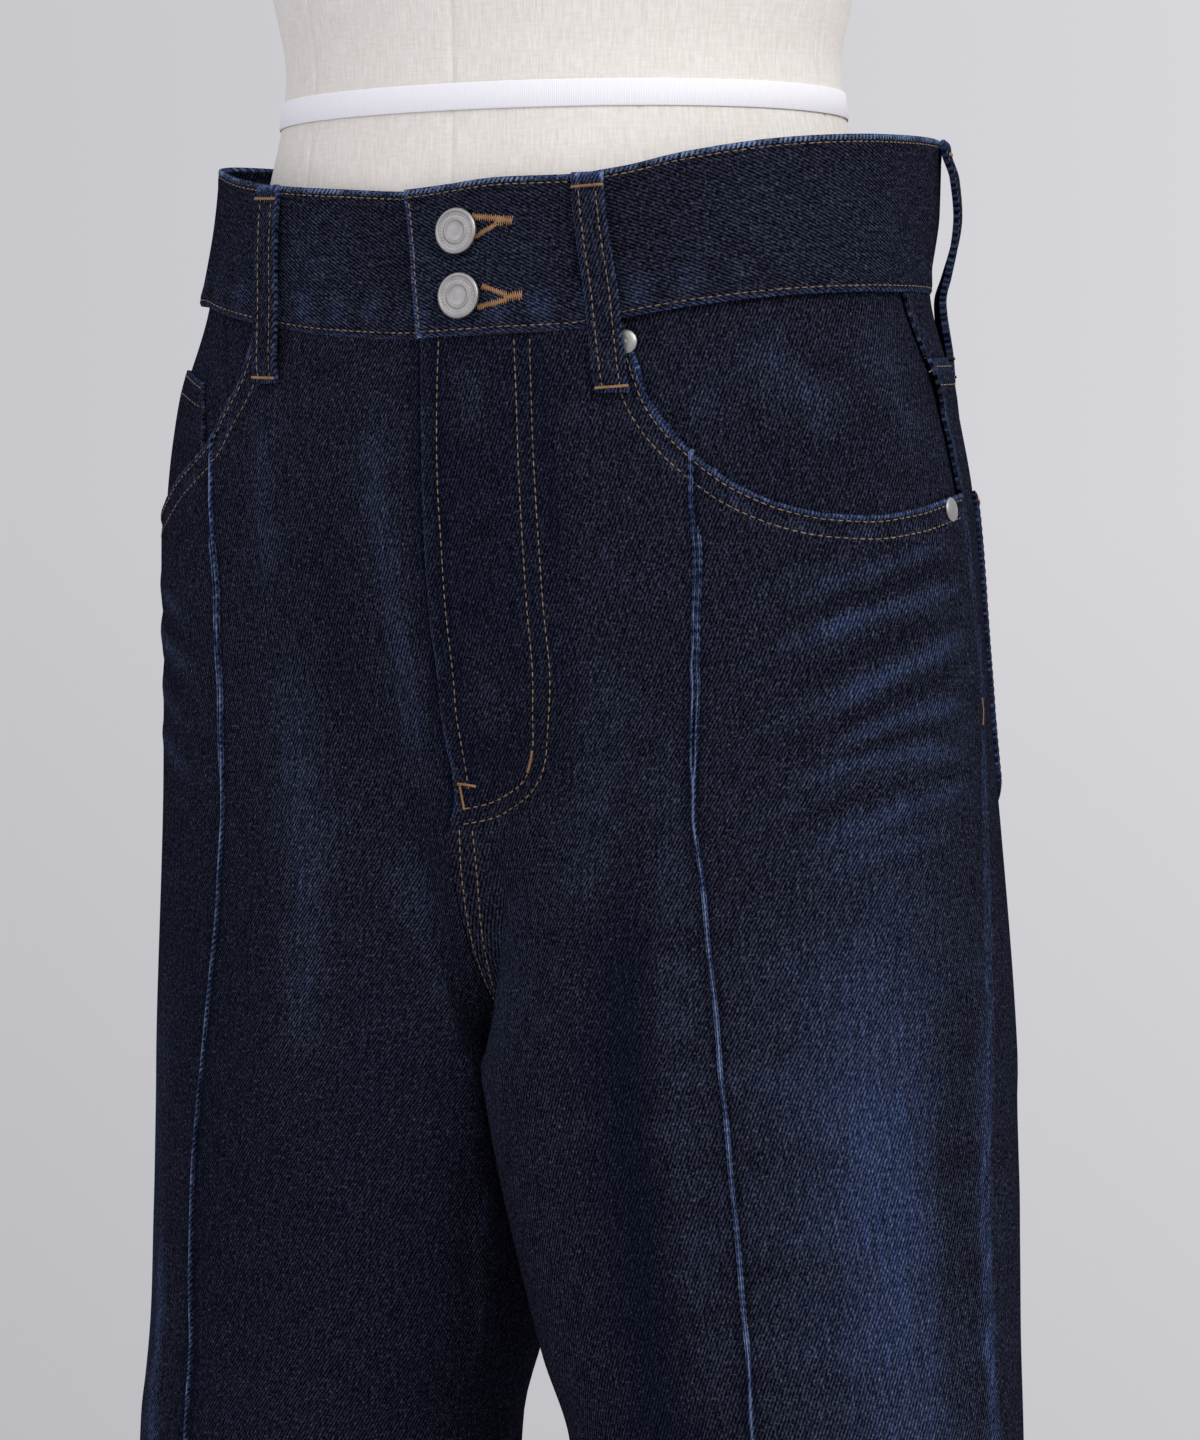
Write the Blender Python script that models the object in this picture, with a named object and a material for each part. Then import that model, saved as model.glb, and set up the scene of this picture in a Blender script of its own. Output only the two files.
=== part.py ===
import math
from collections import namedtuple

import bpy
import numpy as np

# Millimetres, heights from the floor, the front faces -Y, left is the wearer's left (+X)
wall = 1.4
bandWall = 2.4
bandLift = 0.6
patchWall = 1.2
seamGap = 0.3
lap = wall + seamGap
bandLap = bandWall + seamGap
forkHeight = 759.0
frontCurveTop = 835.0
backCurveTop = 890.0
hemBottom = 45.0
hemFold = 25.0
upperStart = 945.0
flyFoot = 852.0
crossFoot = 893.0
tuckSpot = 0.22
bandEndFoot, bandEndMiddle, bandEndTop = 0.0075, -0.0014, -0.014
sideSpot = 0.5

Seat = namedtuple("Seat", "height halfWidth front back power twist shift")
seats = [
    Seat(1115, 138.5, 82.0, 127, 2.35, -9.5, 2.0),
    Seat(1075, 141.0, 83.0, 120, 2.35, -8.5, 0.5),
    Seat(1043, 145.5, 84.5, 104, 2.30, -7.0, -2.5),
    Seat(1008, 157.0, 86.5, 106, 2.25, -5.0, -3.5),
    Seat(968, 164.0, 88.0, 110, 2.25, -3.3, -2.5),
    Seat(929, 166.5, 88.0, 114, 2.20, -1.5, -1.2),
    Seat(893, 167.0, 86.5, 119, 2.20, 0.0, 0.0),
    Seat(840, 167.0, 80.0, 127, 2.20, 0.0, 0.0),
    Seat(760, 167.0, 72.0, 130, 2.20, 0.0, 0.0),
    Seat(660, 167.0, 72.0, 130, 2.20, 0.0, 0.0),
]

# Each leg is an oval whose long axis is turned from the side towards the back
Leg = namedtuple("Leg", "height out back longHalf shortHalf turn")
legs = [
    Leg(930, 77, 5.5, 102, 93, 42),
    Leg(759, 77, 5.5, 102, 91, 42),
    Leg(744, 79, 4.5, 100, 88.6, 43),
    Leg(712, 85.5, 0.8, 97, 81.5, 45),
    Leg(689, 89.5, 0, 94, 78.3, 45),
    Leg(651, 95.3, 0, 89, 74.7, 44),
    Leg(619, 101.5, 0, 84.8, 73, 50),
    Leg(560, 104, 2, 83, 72, 42),
    Leg(435, 104, 6, 86, 77, 30),
    Leg(285, 108, 10, 91, 85, 18),
    Leg(155, 111, 13, 96, 91, 10),
    Leg(40, 114, 15, 100, 95, 0),
]

# A spot runs from 0 at the centre front or inseam, round the outside, to 1 at the back
Spot = namedtuple("Spot", "spot seatAngle legAngle")
spots = [Spot(0, 0, -180), Spot(0.22, 54, -70.5), Spot(0.5, 99.5, 4), Spot(1, 180, 180)]

Fold = namedtuple("Fold", "side spot drift spread top bottom depth")
folds = [
    Fold(1, 0.187, -0.031, 0.046, 860, 500, -4.0),
    Fold(1, 0.115, -0.050, 0.040, 800, 560, 1.6),
    Fold(-1, 0.170, -0.020, 0.045, 830, 520, -3.4),
    Fold(-1, 0.300, 0.030, 0.060, 720, 430, 2.4),
    Fold(1, 0.080, 0.010, 0.055, 560, 0, -5.5),
    Fold(1, 0.165, 0.000, 0.040, 470, 0, 3.8),
    Fold(1, 0.285, 0.020, 0.055, 600, 0, -5.0),
    Fold(1, 0.385, 0.010, 0.050, 520, 0, 4.6),
    Fold(1, 0.580, -0.010, 0.060, 640, 0, -4.6),
    Fold(1, 0.700, 0.010, 0.060, 500, 0, 5.2),
    Fold(1, 0.840, 0.000, 0.070, 580, 0, -5.6),
    Fold(-1, 0.065, 0.000, 0.050, 480, 0, 3.4),
    Fold(-1, 0.150, -0.010, 0.050, 600, 0, -4.8),
    Fold(-1, 0.310, 0.020, 0.060, 540, 0, 4.4),
    Fold(-1, 0.420, 0.000, 0.050, 620, 0, -5.2),
    Fold(-1, 0.560, 0.010, 0.055, 460, 0, 4.0),
    Fold(-1, 0.680, -0.020, 0.060, 600, 0, -4.4),
    Fold(-1, 0.800, 0.000, 0.060, 520, 0, 5.0),
    Fold(-1, 0.920, 0.000, 0.050, 440, 0, -3.6),
]

# Heights along each line at its seat angle
BandLine = namedtuple("BandLine", "angle leftFoot rightFoot leftTop rightTop")
bandLines = [
    BandLine(-20, 1025.0, 1027.0, 1079.0, 1079.5),
    BandLine(0, 1025.0, 1025.0, 1080.0, 1079.5),
    BandLine(24, 1026.0, 1027.5, 1083.2, 1082.0),
    BandLine(40, 1027.0, 1032.0, 1083.6, 1085.0),
    BandLine(51, 1031.0, 1037.0, 1086.0, 1089.0),
    BandLine(62, 1035.0, 1042.5, 1091.0, 1094.5),
    BandLine(78, 1039.5, 1044.0, 1096.5, 1098.5),
    BandLine(95, 1042.0, 1044.0, 1099.5, 1100.0),
    BandLine(120, 1044.0, 1044.5, 1102.0, 1102.0),
    BandLine(200, 1046.0, 1046.0, 1105.0, 1105.0),
]
PocketLine = namedtuple("PocketLine", "angle height")
pocketLines = {
    1: [
        PocketLine(49.9, 1030), PocketLine(50.8, 1019), PocketLine(52.6, 1001), PocketLine(55, 990.5),
        PocketLine(58, 981.8), PocketLine(61.2, 973.8), PocketLine(64.5, 968), PocketLine(69.1, 962.5),
        PocketLine(73.8, 959.7), PocketLine(79, 959), PocketLine(86, 961.5), PocketLine(95, 966.5),
        PocketLine(99.5, 968.5),
    ],
    -1: [
        PocketLine(43.7, 1032), PocketLine(46.4, 1015.5), PocketLine(51, 1001.3), PocketLine(54.6, 990.5),
        PocketLine(59, 983.5), PocketLine(63.4, 977.5), PocketLine(66.2, 973), PocketLine(70, 968),
        PocketLine(75, 964), PocketLine(80, 962), PocketLine(86, 963), PocketLine(95, 966.5),
        PocketLine(99.5, 968.5),
    ],
}

# How far the pin tuck strays from its own spot, by height
TuckRow = namedtuple("TuckRow", "height left right")
tuckRows = [
    TuckRow(990, 0.0285, 0.000), TuckRow(964, 0.0188, 0.002), TuckRow(948, 0.0160, 0.003),
    TuckRow(933, 0.0109, 0.005), TuckRow(917, 0.0037, 0.0108), TuckRow(902, -0.0020, 0.016),
    TuckRow(868, -0.0018, 0.0176), TuckRow(850, -0.0008, 0.0172), TuckRow(828, 0.0054, 0.0165),
    TuckRow(808, 0.0089, 0.0137), TuckRow(781, 0.0126, 0.0098), TuckRow(755, 0.0143, 0.0055),
    TuckRow(728, 0.0114, 0.0028), TuckRow(702, 0.0078, 0.0004), TuckRow(675, 0.0035, -0.0016),
    TuckRow(648, -0.0008, -0.0065), TuckRow(622, -0.0060, -0.0130), TuckRow(540, 0, 0),
]
# The left front's edge over the fly, which wanders as it is worn
FlyRow = namedtuple("FlyRow", "height spot")
flyRows = [
    FlyRow(845, 0), FlyRow(851, 0.0055), FlyRow(858, 0.009), FlyRow(866, 0.0085), FlyRow(876, 0.0035),
    FlyRow(892, -0.001), FlyRow(921, -0.003), FlyRow(960, 0.0005), FlyRow(991, 0.0055), FlyRow(1030, 0.0085),
]
# The coin pocket's mouth slants, and its front edge leans back as it goes down
CoinEdge = namedtuple("CoinEdge", "height start")
coinEdges = [CoinEdge(948, 0.237), CoinEdge(989, 0.239), CoinEdge(1013, 0.2476)]
CoinMouth = namedtuple("CoinMouth", "spot height")
coinMouth = [CoinMouth(0.245, 1013), CoinMouth(0.308, 1019.5), CoinMouth(0.435, 1021)]
coinEnd, coinFoot = 0.435, 948.0
YokeLine = namedtuple("YokeLine", "angle height")
yokeLines = [YokeLine(90, 1017), YokeLine(99.5, 1018), YokeLine(115, 1020), YokeLine(140, 1004), YokeLine(180, 972)]

FormRow = namedtuple("FormRow", "height halfWidth front back power")
formRows = [
    FormRow(800, 98, 42, 76, 2.2), FormRow(805, 110, 50, 85, 2.2),
    FormRow(820, 123, 58, 93, 2.2), FormRow(850, 135, 67, 99, 2.15),
    FormRow(885, 141, 74, 101, 2.1), FormRow(930, 143, 79, 100, 2.1),
    FormRow(970, 140, 80.5, 95, 2.1), FormRow(1010, 134, 80.5, 88, 2.1),
    FormRow(1045, 127, 80.9, 83, 2.1), FormRow(1080, 120.5, 80.4, 81, 2.1),
    FormRow(1114, 112, 79.3, 81, 2.1), FormRow(1130, 110.5, 79.4, 81, 2.1),
    FormRow(1156, 115.5, 82, 85, 2.1),
    FormRow(1200, 127, 93, 90, 2.15), FormRow(1245, 135, 106, 92, 2.15),
    FormRow(1285, 140, 111, 93, 2.15), FormRow(1330, 146, 102, 95, 2.2),
    FormRow(1375, 153, 86, 92, 2.25), FormRow(1415, 155, 70, 82, 2.3),
    FormRow(1440, 144, 60, 72, 2.3), FormRow(1458, 118, 52, 63, 2.25),
    FormRow(1472, 86, 48, 55, 2.15), FormRow(1486, 63, 47, 50, 2.05),
    FormRow(1515, 54, 47, 49, 2.0), FormRow(1560, 52, 48, 48, 2.0),
]

LoopRow = namedtuple("LoopRow", "name side angle drop bow lean")
loopRows = [
    LoopRow("belt_loop_front_left", 1, 44.7, 25, 1.6, 4.8), LoopRow("belt_loop_front_right", -1, 40.9, 22, 1.6, -3.6),
    LoopRow("belt_loop_side_left", 1, 121, 34, 5.6, 0), LoopRow("belt_loop_side_right", -1, 116, 34, 2.6, 0),
    LoopRow("belt_loop_back", 1, 180, 32, 2.2, 0),
]
loopWidth = 12.5
loopWall = 2.2

StudRow = namedtuple("StudRow", "name side angle height lift")
studs = [
    StudRow("rivet_upper_left", 1, 50.1, 1022, 0.0), StudRow("rivet_lower_left", 1, 94.8, 962, 0.0),
    StudRow("rivet_upper_right", -1, 41.4, 1023, 0.0), StudRow("rivet_lower_right", -1, 94.8, 962, 0.0),
]
buttons = [
    StudRow("button_upper", 1, 13.5, 1063.6, bandLap + bandLift),
    StudRow("button_lower", 1, 14.8, 1039.8, bandLap + bandLift),
]

Ring = namedtuple("Ring", "radius height")
rivetRings = [Ring(4.3, 0.25), Ring(4.4, 0.7), Ring(3.4, 1.3), Ring(1.8, 1.6)]
buttonRings = [
    Ring(3.6, 0.3), Ring(3.6, 1.5), Ring(8.2, 1.7), Ring(8.5, 2.3),
    Ring(8.3, 3.2), Ring(7.4, 3.5), Ring(4.6, 3.0), Ring(3.9, 3.3),
]
poleX, poleY, poleRadius = -82.0, 8.0, 12.5

Finish = namedtuple("Finish", "name colour roughness metallic")
finishes = {
    "denim": Finish("indigo twill denim", (0.012, 0.017, 0.038), 0.9, 0.0),
    "steel": Finish("brushed nickel", (0.35, 0.35, 0.35), 0.4, 1.0),
    "linen": Finish("natural linen", (0.70, 0.65, 0.59), 0.95, 0.0),
    "tape": Finish("cotton tape", (0.80, 0.79, 0.82), 0.9, 0.0),
    "stand": Finish("grey painted steel", (0.18, 0.18, 0.19), 0.45, 0.3),
}


def column(rows, field, height):
    order = sorted(rows, key=lambda row: row[0])
    x = np.array([row[0] for row in order], float)
    y = np.array([getattr(row, field) for row in order], float)
    height = np.clip(height, x[0], x[-1])
    i = np.clip(np.searchsorted(x, height) - 1, 0, len(x) - 2)
    step = x[i + 1] - x[i]
    s = (height - x[i]) / step
    rise = np.diff(y) / np.diff(x)
    slope = np.zeros(len(x))
    both = rise[:-1] * rise[1:]
    total = rise[:-1] + rise[1:]
    slope[1:-1] = np.where(both > 0, 2 * both / np.where(total == 0, 1, total), 0)
    slope[0], slope[-1] = rise[0], rise[-1]
    return (
        (2 * s**3 - 3 * s**2 + 1) * y[i] + (s**3 - 2 * s**2 + s) * step * slope[i]
        + (3 * s**2 - 2 * s**3) * y[i + 1] + (s**3 - s**2) * step * slope[i + 1]
    )


def ease(low, high, value):
    s = np.clip((value - low) / (high - low), 0, 1)
    return s * s * (3 - 2 * s)


def oval(angle, halfWidth, front, back, power):
    c, s = np.cos(angle), np.sin(angle)
    depth = np.where(c > 0, front, back)
    return (np.abs(c / depth) ** power + np.abs(s / halfWidth) ** power) ** (-1 / power)


def spotAngle(field, spot):
    x = [row.spot for row in spots]
    y = [getattr(row, field) for row in spots]
    angle = np.interp(spot, x, y)
    angle = np.where(spot < 0, y[0] + spot * (y[1] - y[0]) / x[1], angle)
    tail = (y[-1] - y[-2]) / (x[-1] - x[-2])
    return np.where(spot > 1, y[-1] + (spot - 1) * tail, angle)


def seatSpot(angle):
    return np.interp(angle, [row.seatAngle for row in spots], [row.spot for row in spots])


def curveShare(top, height):
    s = np.clip((top - height) / (top - forkHeight), 0, 1)
    return 1 - np.sqrt(1 - s * s)


def skin(side, spot, height):
    spot, height = np.broadcast_arrays(np.asarray(spot, float), np.asarray(height, float))
    crossed = (spot < 0) & (height > frontCurveTop)
    side, spot = np.where(crossed, -side, side), np.where(crossed, -spot, spot)
    angle = side * np.radians(spotAngle("seatAngle", spot)) + np.radians(column(seats, "twist", height))
    reach = oval(angle, *(column(seats, f, height) for f in ("halfWidth", "front", "back", "power")))
    seatX = side * (reach * np.sin(angle) + column(seats, "shift", height))
    seatY = -reach * np.cos(angle)
    turn = np.radians(column(legs, "turn", height))
    angle = np.radians(spotAngle("legAngle", spot))
    c = np.cos(angle - turn) / column(legs, "longHalf", height)
    s = np.sin(angle - turn) / column(legs, "shortHalf", height)
    reach = (np.abs(c) ** 2.05 + np.abs(s) ** 2.05) ** (-1 / 2.05)
    legX = column(legs, "out", height) + reach * np.cos(angle)
    legY = column(legs, "back", height) + reach * np.sin(angle)
    away = ease(0, 45, forkHeight - 2 - height)
    clear, soft = 0.15 + 1.7 * away, 0.4 + 3.6 * away
    legX = (legX + clear + np.sqrt((legX - clear) ** 2 + soft**2)) / 2
    outer = ease(0, 1, (915 - height) / 190)
    front, back = curveShare(frontCurveTop, height), curveShare(backCurveTop, height)
    share = front + (outer - front) * ease(0, 0.13, spot)
    share = back + (share - back) * ease(0, 0.16, 1 - spot)
    x = seatX + (legX - seatX) * share
    y = seatY + (legY - seatY) * share
    x = np.where(height < crossFoot, np.maximum(x, 0.0), x)
    return np.stack([side * x, y, height], -1)


def outward(side, spot, height):
    across = skin(side, spot + 0.003, height) - skin(side, spot - 0.003, height)
    up = skin(side, spot, height + 1.5) - skin(side, spot, height - 1.5)
    normal = side * np.cross(across, up)
    return normal / np.linalg.norm(normal, axis=-1, keepdims=True)


def foldLift(side, spot, height):
    lift = np.zeros(np.broadcast(spot, height).shape)
    for fold in folds:
        if fold.side != side:
            continue
        down = np.clip((fold.top - height) / (fold.top - max(fold.bottom, hemBottom)), 0, 1)
        centre = fold.spot + fold.drift * down
        near = np.clip(1 - np.abs(spot - centre) / fold.spread, 0, 1)
        shape = near * near * (3 - 2 * near)
        grow = ease(0, 1, down) if fold.bottom == 0 else np.sin(np.pi * down) ** 2
        lift = lift + fold.depth * shape * grow
    return lift


def flyLift(side, spot, height):
    if side < 0:
        return np.zeros(np.broadcast(spot, height).shape)
    return lap * (1 - ease(0.092, 0.14, spot)) * ease(820, 837, height)


def tuckShift(side, height):
    return column(tuckRows, "left" if side > 0 else "right", height)


def tuckLift(side, spot, height):
    ridge = np.clip(1 - np.abs(spot - tuckSpot - tuckShift(side, height)) / 0.0034, 0, 1)
    return 1.5 * ridge * ease(0, 10, 988 - height)


# Carries the columns near the tuck along with it
def followTuck(side, seams, height):
    shift = tuckShift(side, height)
    ahead = np.interp(seams, [0.2143, 0.2166, 0.2234, 0.2385, 0.26, 0.2815], [0, 1, 1, 0.62, 0.3, 0])
    behind = np.interp(seams, [0.1925, 0.2166, 0.2234, 0.26], [0, 1, 1, 0])
    return seams + shift * np.where(shift > 0, ahead, behind)


def place(side, spot, height, lift):
    point = skin(side, spot, height) + outward(side, spot, height) * np.asarray(lift)[..., None]
    x = side * point[..., 0]
    low = np.broadcast_to(point[..., 2] < 890, x.shape) & (np.abs(spot - 0.5) <= 0.5)
    point[..., 0] = side * np.where(low, np.maximum(x, 0.15), x)
    return point


def inset(side, spot, height, distance):
    speed = np.linalg.norm(skin(side, spot + 0.002, height) - skin(side, spot - 0.002, height), axis=-1) / 0.004
    return distance / np.maximum(speed, 60)


def angleOf(spot):
    return spotAngle("seatAngle", np.asarray(spot, float))


def makeMesh(name, points, faces, finish):
    mesh = bpy.data.meshes.new(name)
    mesh.from_pydata([tuple(float(v) / 1000 for v in p) for p in points], [], faces)
    mesh.validate()
    item = bpy.data.objects.new(name, mesh)
    bpy.context.scene.collection.objects.link(item)
    look = finishes[finish]
    material = bpy.data.materials.get(look.name) or bpy.data.materials.new(look.name)
    material.use_nodes = True
    shader = material.node_tree.nodes["Principled BSDF"]
    shader.inputs["Base Color"].default_value = (*look.colour, 1)
    shader.inputs["Roughness"].default_value = look.roughness
    shader.inputs["Metallic"].default_value = look.metallic
    mesh.materials.append(material)
    return item


# Closes an outer and an inner grid of rows and columns into one wall
def makeWall(name, outer, inner, finish, flip=False, ring=False):
    rows, cols = outer.shape[:2]
    points = np.concatenate([outer.reshape(-1, 3), inner.reshape(-1, 3)])
    half = rows * cols
    faces = []
    spans = cols if ring else cols - 1
    for r in range(rows - 1):
        for c in range(spans):
            d = (c + 1) % cols
            a, b, e, f = r * cols + c, r * cols + d, (r + 1) * cols + d, (r + 1) * cols + c
            faces += [(a, b, e), (a, e, f)]
            faces += [(half + e, half + b, half + a), (half + f, half + e, half + a)]
    for c in range(spans):
        d = (c + 1) % cols
        top = (rows - 1) * cols
        faces.append((c, half + c, half + d, d))
        faces.append((top + d, half + top + d, half + top + c, top + c))
    if not ring:
        for r in range(rows - 1):
            a, b = r * cols, (r + 1) * cols
            faces.append((b, half + b, half + a, a))
            a, b = a + cols - 1, b + cols - 1
            faces.append((a, half + a, half + b, b))
    if flip:
        faces = [face[::-1] for face in faces]
    return makeMesh(name, points, faces, finish)


def makeSurface(name, side, spot, height, outerLift, thickness, finish="denim"):
    outer = place(side, spot, height, outerLift)
    inner = place(side, spot, height, outerLift - thickness)
    return makeWall(name, outer, inner, finish, flip=side < 0)


lowLevels = [
    45, 69, 72, 135, 205, 275, 345, 415, 480, 535, 590, 640, 685, 722, 747,
    759, 761.6, 769.2, 781.3, 797, 815.3, 835, 860, 890, 920, 945,
]
upperShares = [0.25, 0.5, 0.75, 1.0]


# Heights of a panel's grid: level rows low down, then shares of the way to its top line
def panelHeights(topLine):
    low = [np.full(len(topLine), level, float) for level in lowLevels]
    high = [upperStart + share * (topLine - upperStart) for share in upperShares]
    return np.array(low + high)


def bandHeight(side, edge, angle):
    field = ("left" if side > 0 else "right") + edge
    return column(bandLines, field, np.asarray(angle, float))


def pocketTop(side, angle):
    foot = bandHeight(side, "Foot", angle) - seamGap
    line = np.where(angle < pocketLines[side][0].angle, foot, column(pocketLines[side], "height", angle))
    return np.minimum(line, foot)


def hemThickness(height):
    return wall + 1.3 * (height < hemBottom + hemFold)


def makeFront(side):
    seams = [0, 0.02, 0.05, 0.088, 0.115, 0.15, 0.178, 0.1925, 0.2034, 0.2070, 0.2143, 0.2166,
             tuckSpot, 0.2234, 0.2385, 0.26, 0.2815, 0.3123, 0.343, 0.374, 0.411, 0.441, 0.47, sideSpot]
    seams = np.array(seams)
    top = pocketTop(side, angleOf(seams))
    for _ in range(6):
        top = (top + pocketTop(side, angleOf(followTuck(side, seams, top)))) / 2
    height = panelHeights(top)
    spot = followTuck(side, np.broadcast_to(seams, height.shape), height)
    gap = seamGap / 2
    first = inset(side, spot[:, 0], height[:, 0], gap)
    if side < 0:
        first = first + (-0.014 - first) * ease(840, 852, height[:, 0])
    else:
        first = first * (1 - ease(835, 845, height[:, 0])) + column(flyRows, "spot", height[:, 0])
    last = sideSpot - inset(side, spot[:, -1], height[:, -1], gap)
    share = seams / sideSpot
    start = np.clip(1 - share * 10, 0, 1)
    spot = spot + first[:, None] * start[None, :]
    spot[:, -1] = last
    lift = foldLift(side, spot, height) + flyLift(side, spot, height) + tuckLift(side, spot, height)
    name = "front_left" if side > 0 else "front_right"
    makeSurface(name, side, spot, height, lift, hemThickness(height))


# The back and the yoke share these, so that their edges run alike
backSeams = np.array([sideSpot, 0.53, 0.57, 0.62, 0.67, 0.72, 0.77, 0.82, 0.865, 0.905, 0.94, 0.97, 1.0])


def makeBack(side):
    seams, angles = backSeams, angleOf(backSeams)
    height = panelHeights(column(yokeLines, "height", angles) - seamGap / 2)
    spot = np.broadcast_to(seams, height.shape).copy()
    spot[:, 0] = sideSpot + inset(side, spot[:, 0], height[:, 0], seamGap / 2)
    spot[:, -1] = 1 - inset(side, spot[:, -1], height[:, -1], seamGap / 2)
    lift = foldLift(side, spot, height)
    makeSurface("back_left" if side > 0 else "back_right", side, spot, height, lift, hemThickness(height))


def makeYoke(side):
    seams, angles = backSeams, angleOf(backSeams)
    foot = column(yokeLines, "height", angles) + seamGap / 2
    top = bandHeight(side, "Foot", angles) - seamGap
    height = np.array([foot + share * (top - foot) for share in (0, 0.25, 0.5, 0.75, 1)])
    spot = np.broadcast_to(seams, height.shape).copy()
    spot[:, 0] += inset(side, spot[:, 0], height[:, 0], seamGap / 2)
    spot[:, -1] -= inset(side, spot[:, -1], height[:, -1], seamGap / 2)
    makeSurface("yoke_left" if side > 0 else "yoke_right", side, spot, height, np.zeros(height.shape), wall)


def makeBand(side):
    start = 0.0 if side > 0 else -0.05
    seams = [start, 0.02, 0.045, 0.07, 0.095, 0.125, 0.155, 0.185, 0.2086, 0.2385, 0.26, 0.2815, 0.3123,
             0.343, 0.374, 0.411, 0.441, 0.47, 0.50, 0.54, 0.59, 0.65, 0.72, 0.79, 0.86, 0.93, 1.0]
    seams = np.array(seams)
    angles = angleOf(seams)
    foot, top = bandHeight(side, "Foot", angles), bandHeight(side, "Top", angles)
    shares = [(0, 0.0), (0.07, 0.25), (0.5, 0.0), (0.94, 0.3), (1, 0.0)]
    height = np.array([foot + share * (top - foot) for share, _ in shares])
    spot = np.broadcast_to(seams, height.shape).copy()
    spot[:, -1] -= inset(side, spot[:, -1], height[:, -1], seamGap / 2)
    if side > 0:
        spot[:, 0] = np.interp([share for share, _ in shares], [0, 0.55, 1], [bandEndFoot, bandEndMiddle, bandEndTop])
    raised = bandLap * (1 - ease(0.10, 0.175, spot)) if side > 0 else 0
    lift = bandLift + raised + np.array([rise for _, rise in shares])[:, None]
    makeSurface("waistband_left" if side > 0 else "waistband_right", side, spot, height, lift, bandWall)


def makeFacing(side):
    depth = 2.6 if side > 0 else 3.35
    start = 0.178 if side > 0 else 0.16
    seams = np.array([start, 0.1925, 0.2070, 0.2385, 0.26, 0.2815, 0.3123, 0.343, 0.374, 0.411, 0.441, 0.47, 0.508])
    top = bandHeight(side, "Foot", angleOf(seams)) + 5
    levels = [np.full(len(seams), float(level)) for level in (930, 948, 966, 986, 1007)]
    height = np.array(levels + [(1007 + top) / 2, top])
    spot = np.broadcast_to(seams, height.shape)
    name = "pocket_facing_left" if side > 0 else "pocket_facing_right"
    makeSurface(name, side, spot, height, np.full(height.shape, -depth), patchWall)


def coinPlace(across, up):
    spot = coinMouth[0].spot + (coinEnd - coinMouth[0].spot) * across
    height = coinFoot + up * (column(coinMouth, "height", spot) - coinFoot)
    start = column(coinEdges, "start", height)
    return start + (coinEnd - start) * across, height


def makeCoinPocket():
    across, up = np.meshgrid([0, 0.08, 0.19, 0.35, 0.52, 0.68, 0.87, 1], [0, 0.26, 0.55, 0.82, 1])
    spot, height = coinPlace(across, up)
    makeSurface("coin_pocket", -1, spot, height, np.full(height.shape, -1.75), 1.1)


def makeBackPocket(side):
    across = np.linspace(0, 1, 13)
    down = np.linspace(1, 0, 9)
    topLine = 970 - 20 * across
    foot = 832 + 26 * np.abs(2 * across - 1) ** 1.2 + 4 * (1 - across)
    height = np.array([foot + share * (topLine - foot) for share in 1 - down])
    narrow = 0.016 * down[:, None]
    spot = 0.542 + narrow + across[None, :] * (0.335 - 2 * narrow)
    lift = foldLift(side, spot, height) + 0.5 + patchWall
    name = "back_pocket_left" if side > 0 else "back_pocket_right"
    makeSurface(name, side, spot, height, lift, patchWall)


def makeFlyShield():
    seams = np.array([0.0168, 0.02, 0.05, 0.088])
    top = bandHeight(1, "Foot", angleOf(seams)) - seamGap
    low = [np.full(len(top), float(level)) for level in (flyFoot, 860, 890, 920, upperStart)]
    height = np.array(low + [upperStart + share * (top - upperStart) for share in upperShares])
    spot = np.broadcast_to(seams, height.shape)
    makeSurface("fly_shield", 1, spot, height, np.full(height.shape, -0.1), patchWall)


def makeLoop(row):
    spot = float(seatSpot(row.angle))
    foot = float(bandHeight(row.side, "Foot", row.angle))
    top = float(bandHeight(row.side, "Top", row.angle)) - 0.3
    low = foot - row.drop
    levels = np.array([low, low + 0.4 * row.drop, foot - 4, foot + 8, foot + 28, top - 14, top - 5, top])
    stand = np.array([0.35, 1.55, 1.6, 1.2, 1.2, 1.2, 1.3, 1.25])
    stand = stand + row.bow * np.array([0.3, 0.35, 0.45, 0.85, 1, 0.75, 0.2, 0])
    height = np.repeat(levels[:, None], 3, 1)
    lean = row.lean * ease(0, 1, (top - height) / 48)
    where = spot + inset(row.side, spot, height, np.array([-0.5, 0, 0.5]) * loopWidth + lean)
    lift = np.repeat(stand[:, None], 3, 1) + loopWall
    makeSurface(row.name, row.side, where, height, lift, loopWall)


def spin(name, centre, axis, rings, count, finish, capLow=True):
    axis = np.array(axis, float)
    axis /= np.linalg.norm(axis)
    first = np.cross((0, 0, 1), axis)
    first = np.array([1.0, 0, 0]) if np.linalg.norm(first) < 1e-6 else first / np.linalg.norm(first)
    second = np.cross(axis, first)
    points, faces = [], []
    for ring in rings:
        for k in range(count):
            turn = 2 * math.pi * k / count
            points.append(centre + axis * ring.height + ring.radius * (math.cos(turn) * first + math.sin(turn) * second))
    for r in range(len(rings) - 1):
        for k in range(count):
            n = (k + 1) % count
            faces.append((r * count + k, r * count + n, (r + 1) * count + n, (r + 1) * count + k))
    points.append(centre + axis * rings[0].height)
    points.append(centre + axis * rings[-1].height)
    last = (len(rings) - 1) * count
    for k in range(count):
        n = (k + 1) % count
        faces.append((len(points) - 2, n, k))
        faces.append((len(points) - 1, last + k, last + n))
    return makeMesh(name, points, faces, finish)


def makeStud(row, rings, count):
    spot, height = np.array([float(seatSpot(row.angle))]), np.array([float(row.height)])
    centre = place(row.side, spot, height, np.array([row.lift]))[0]
    axis = outward(row.side, spot, height)[0]
    spin(row.name, centre, axis, rings, count, "steel")


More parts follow.
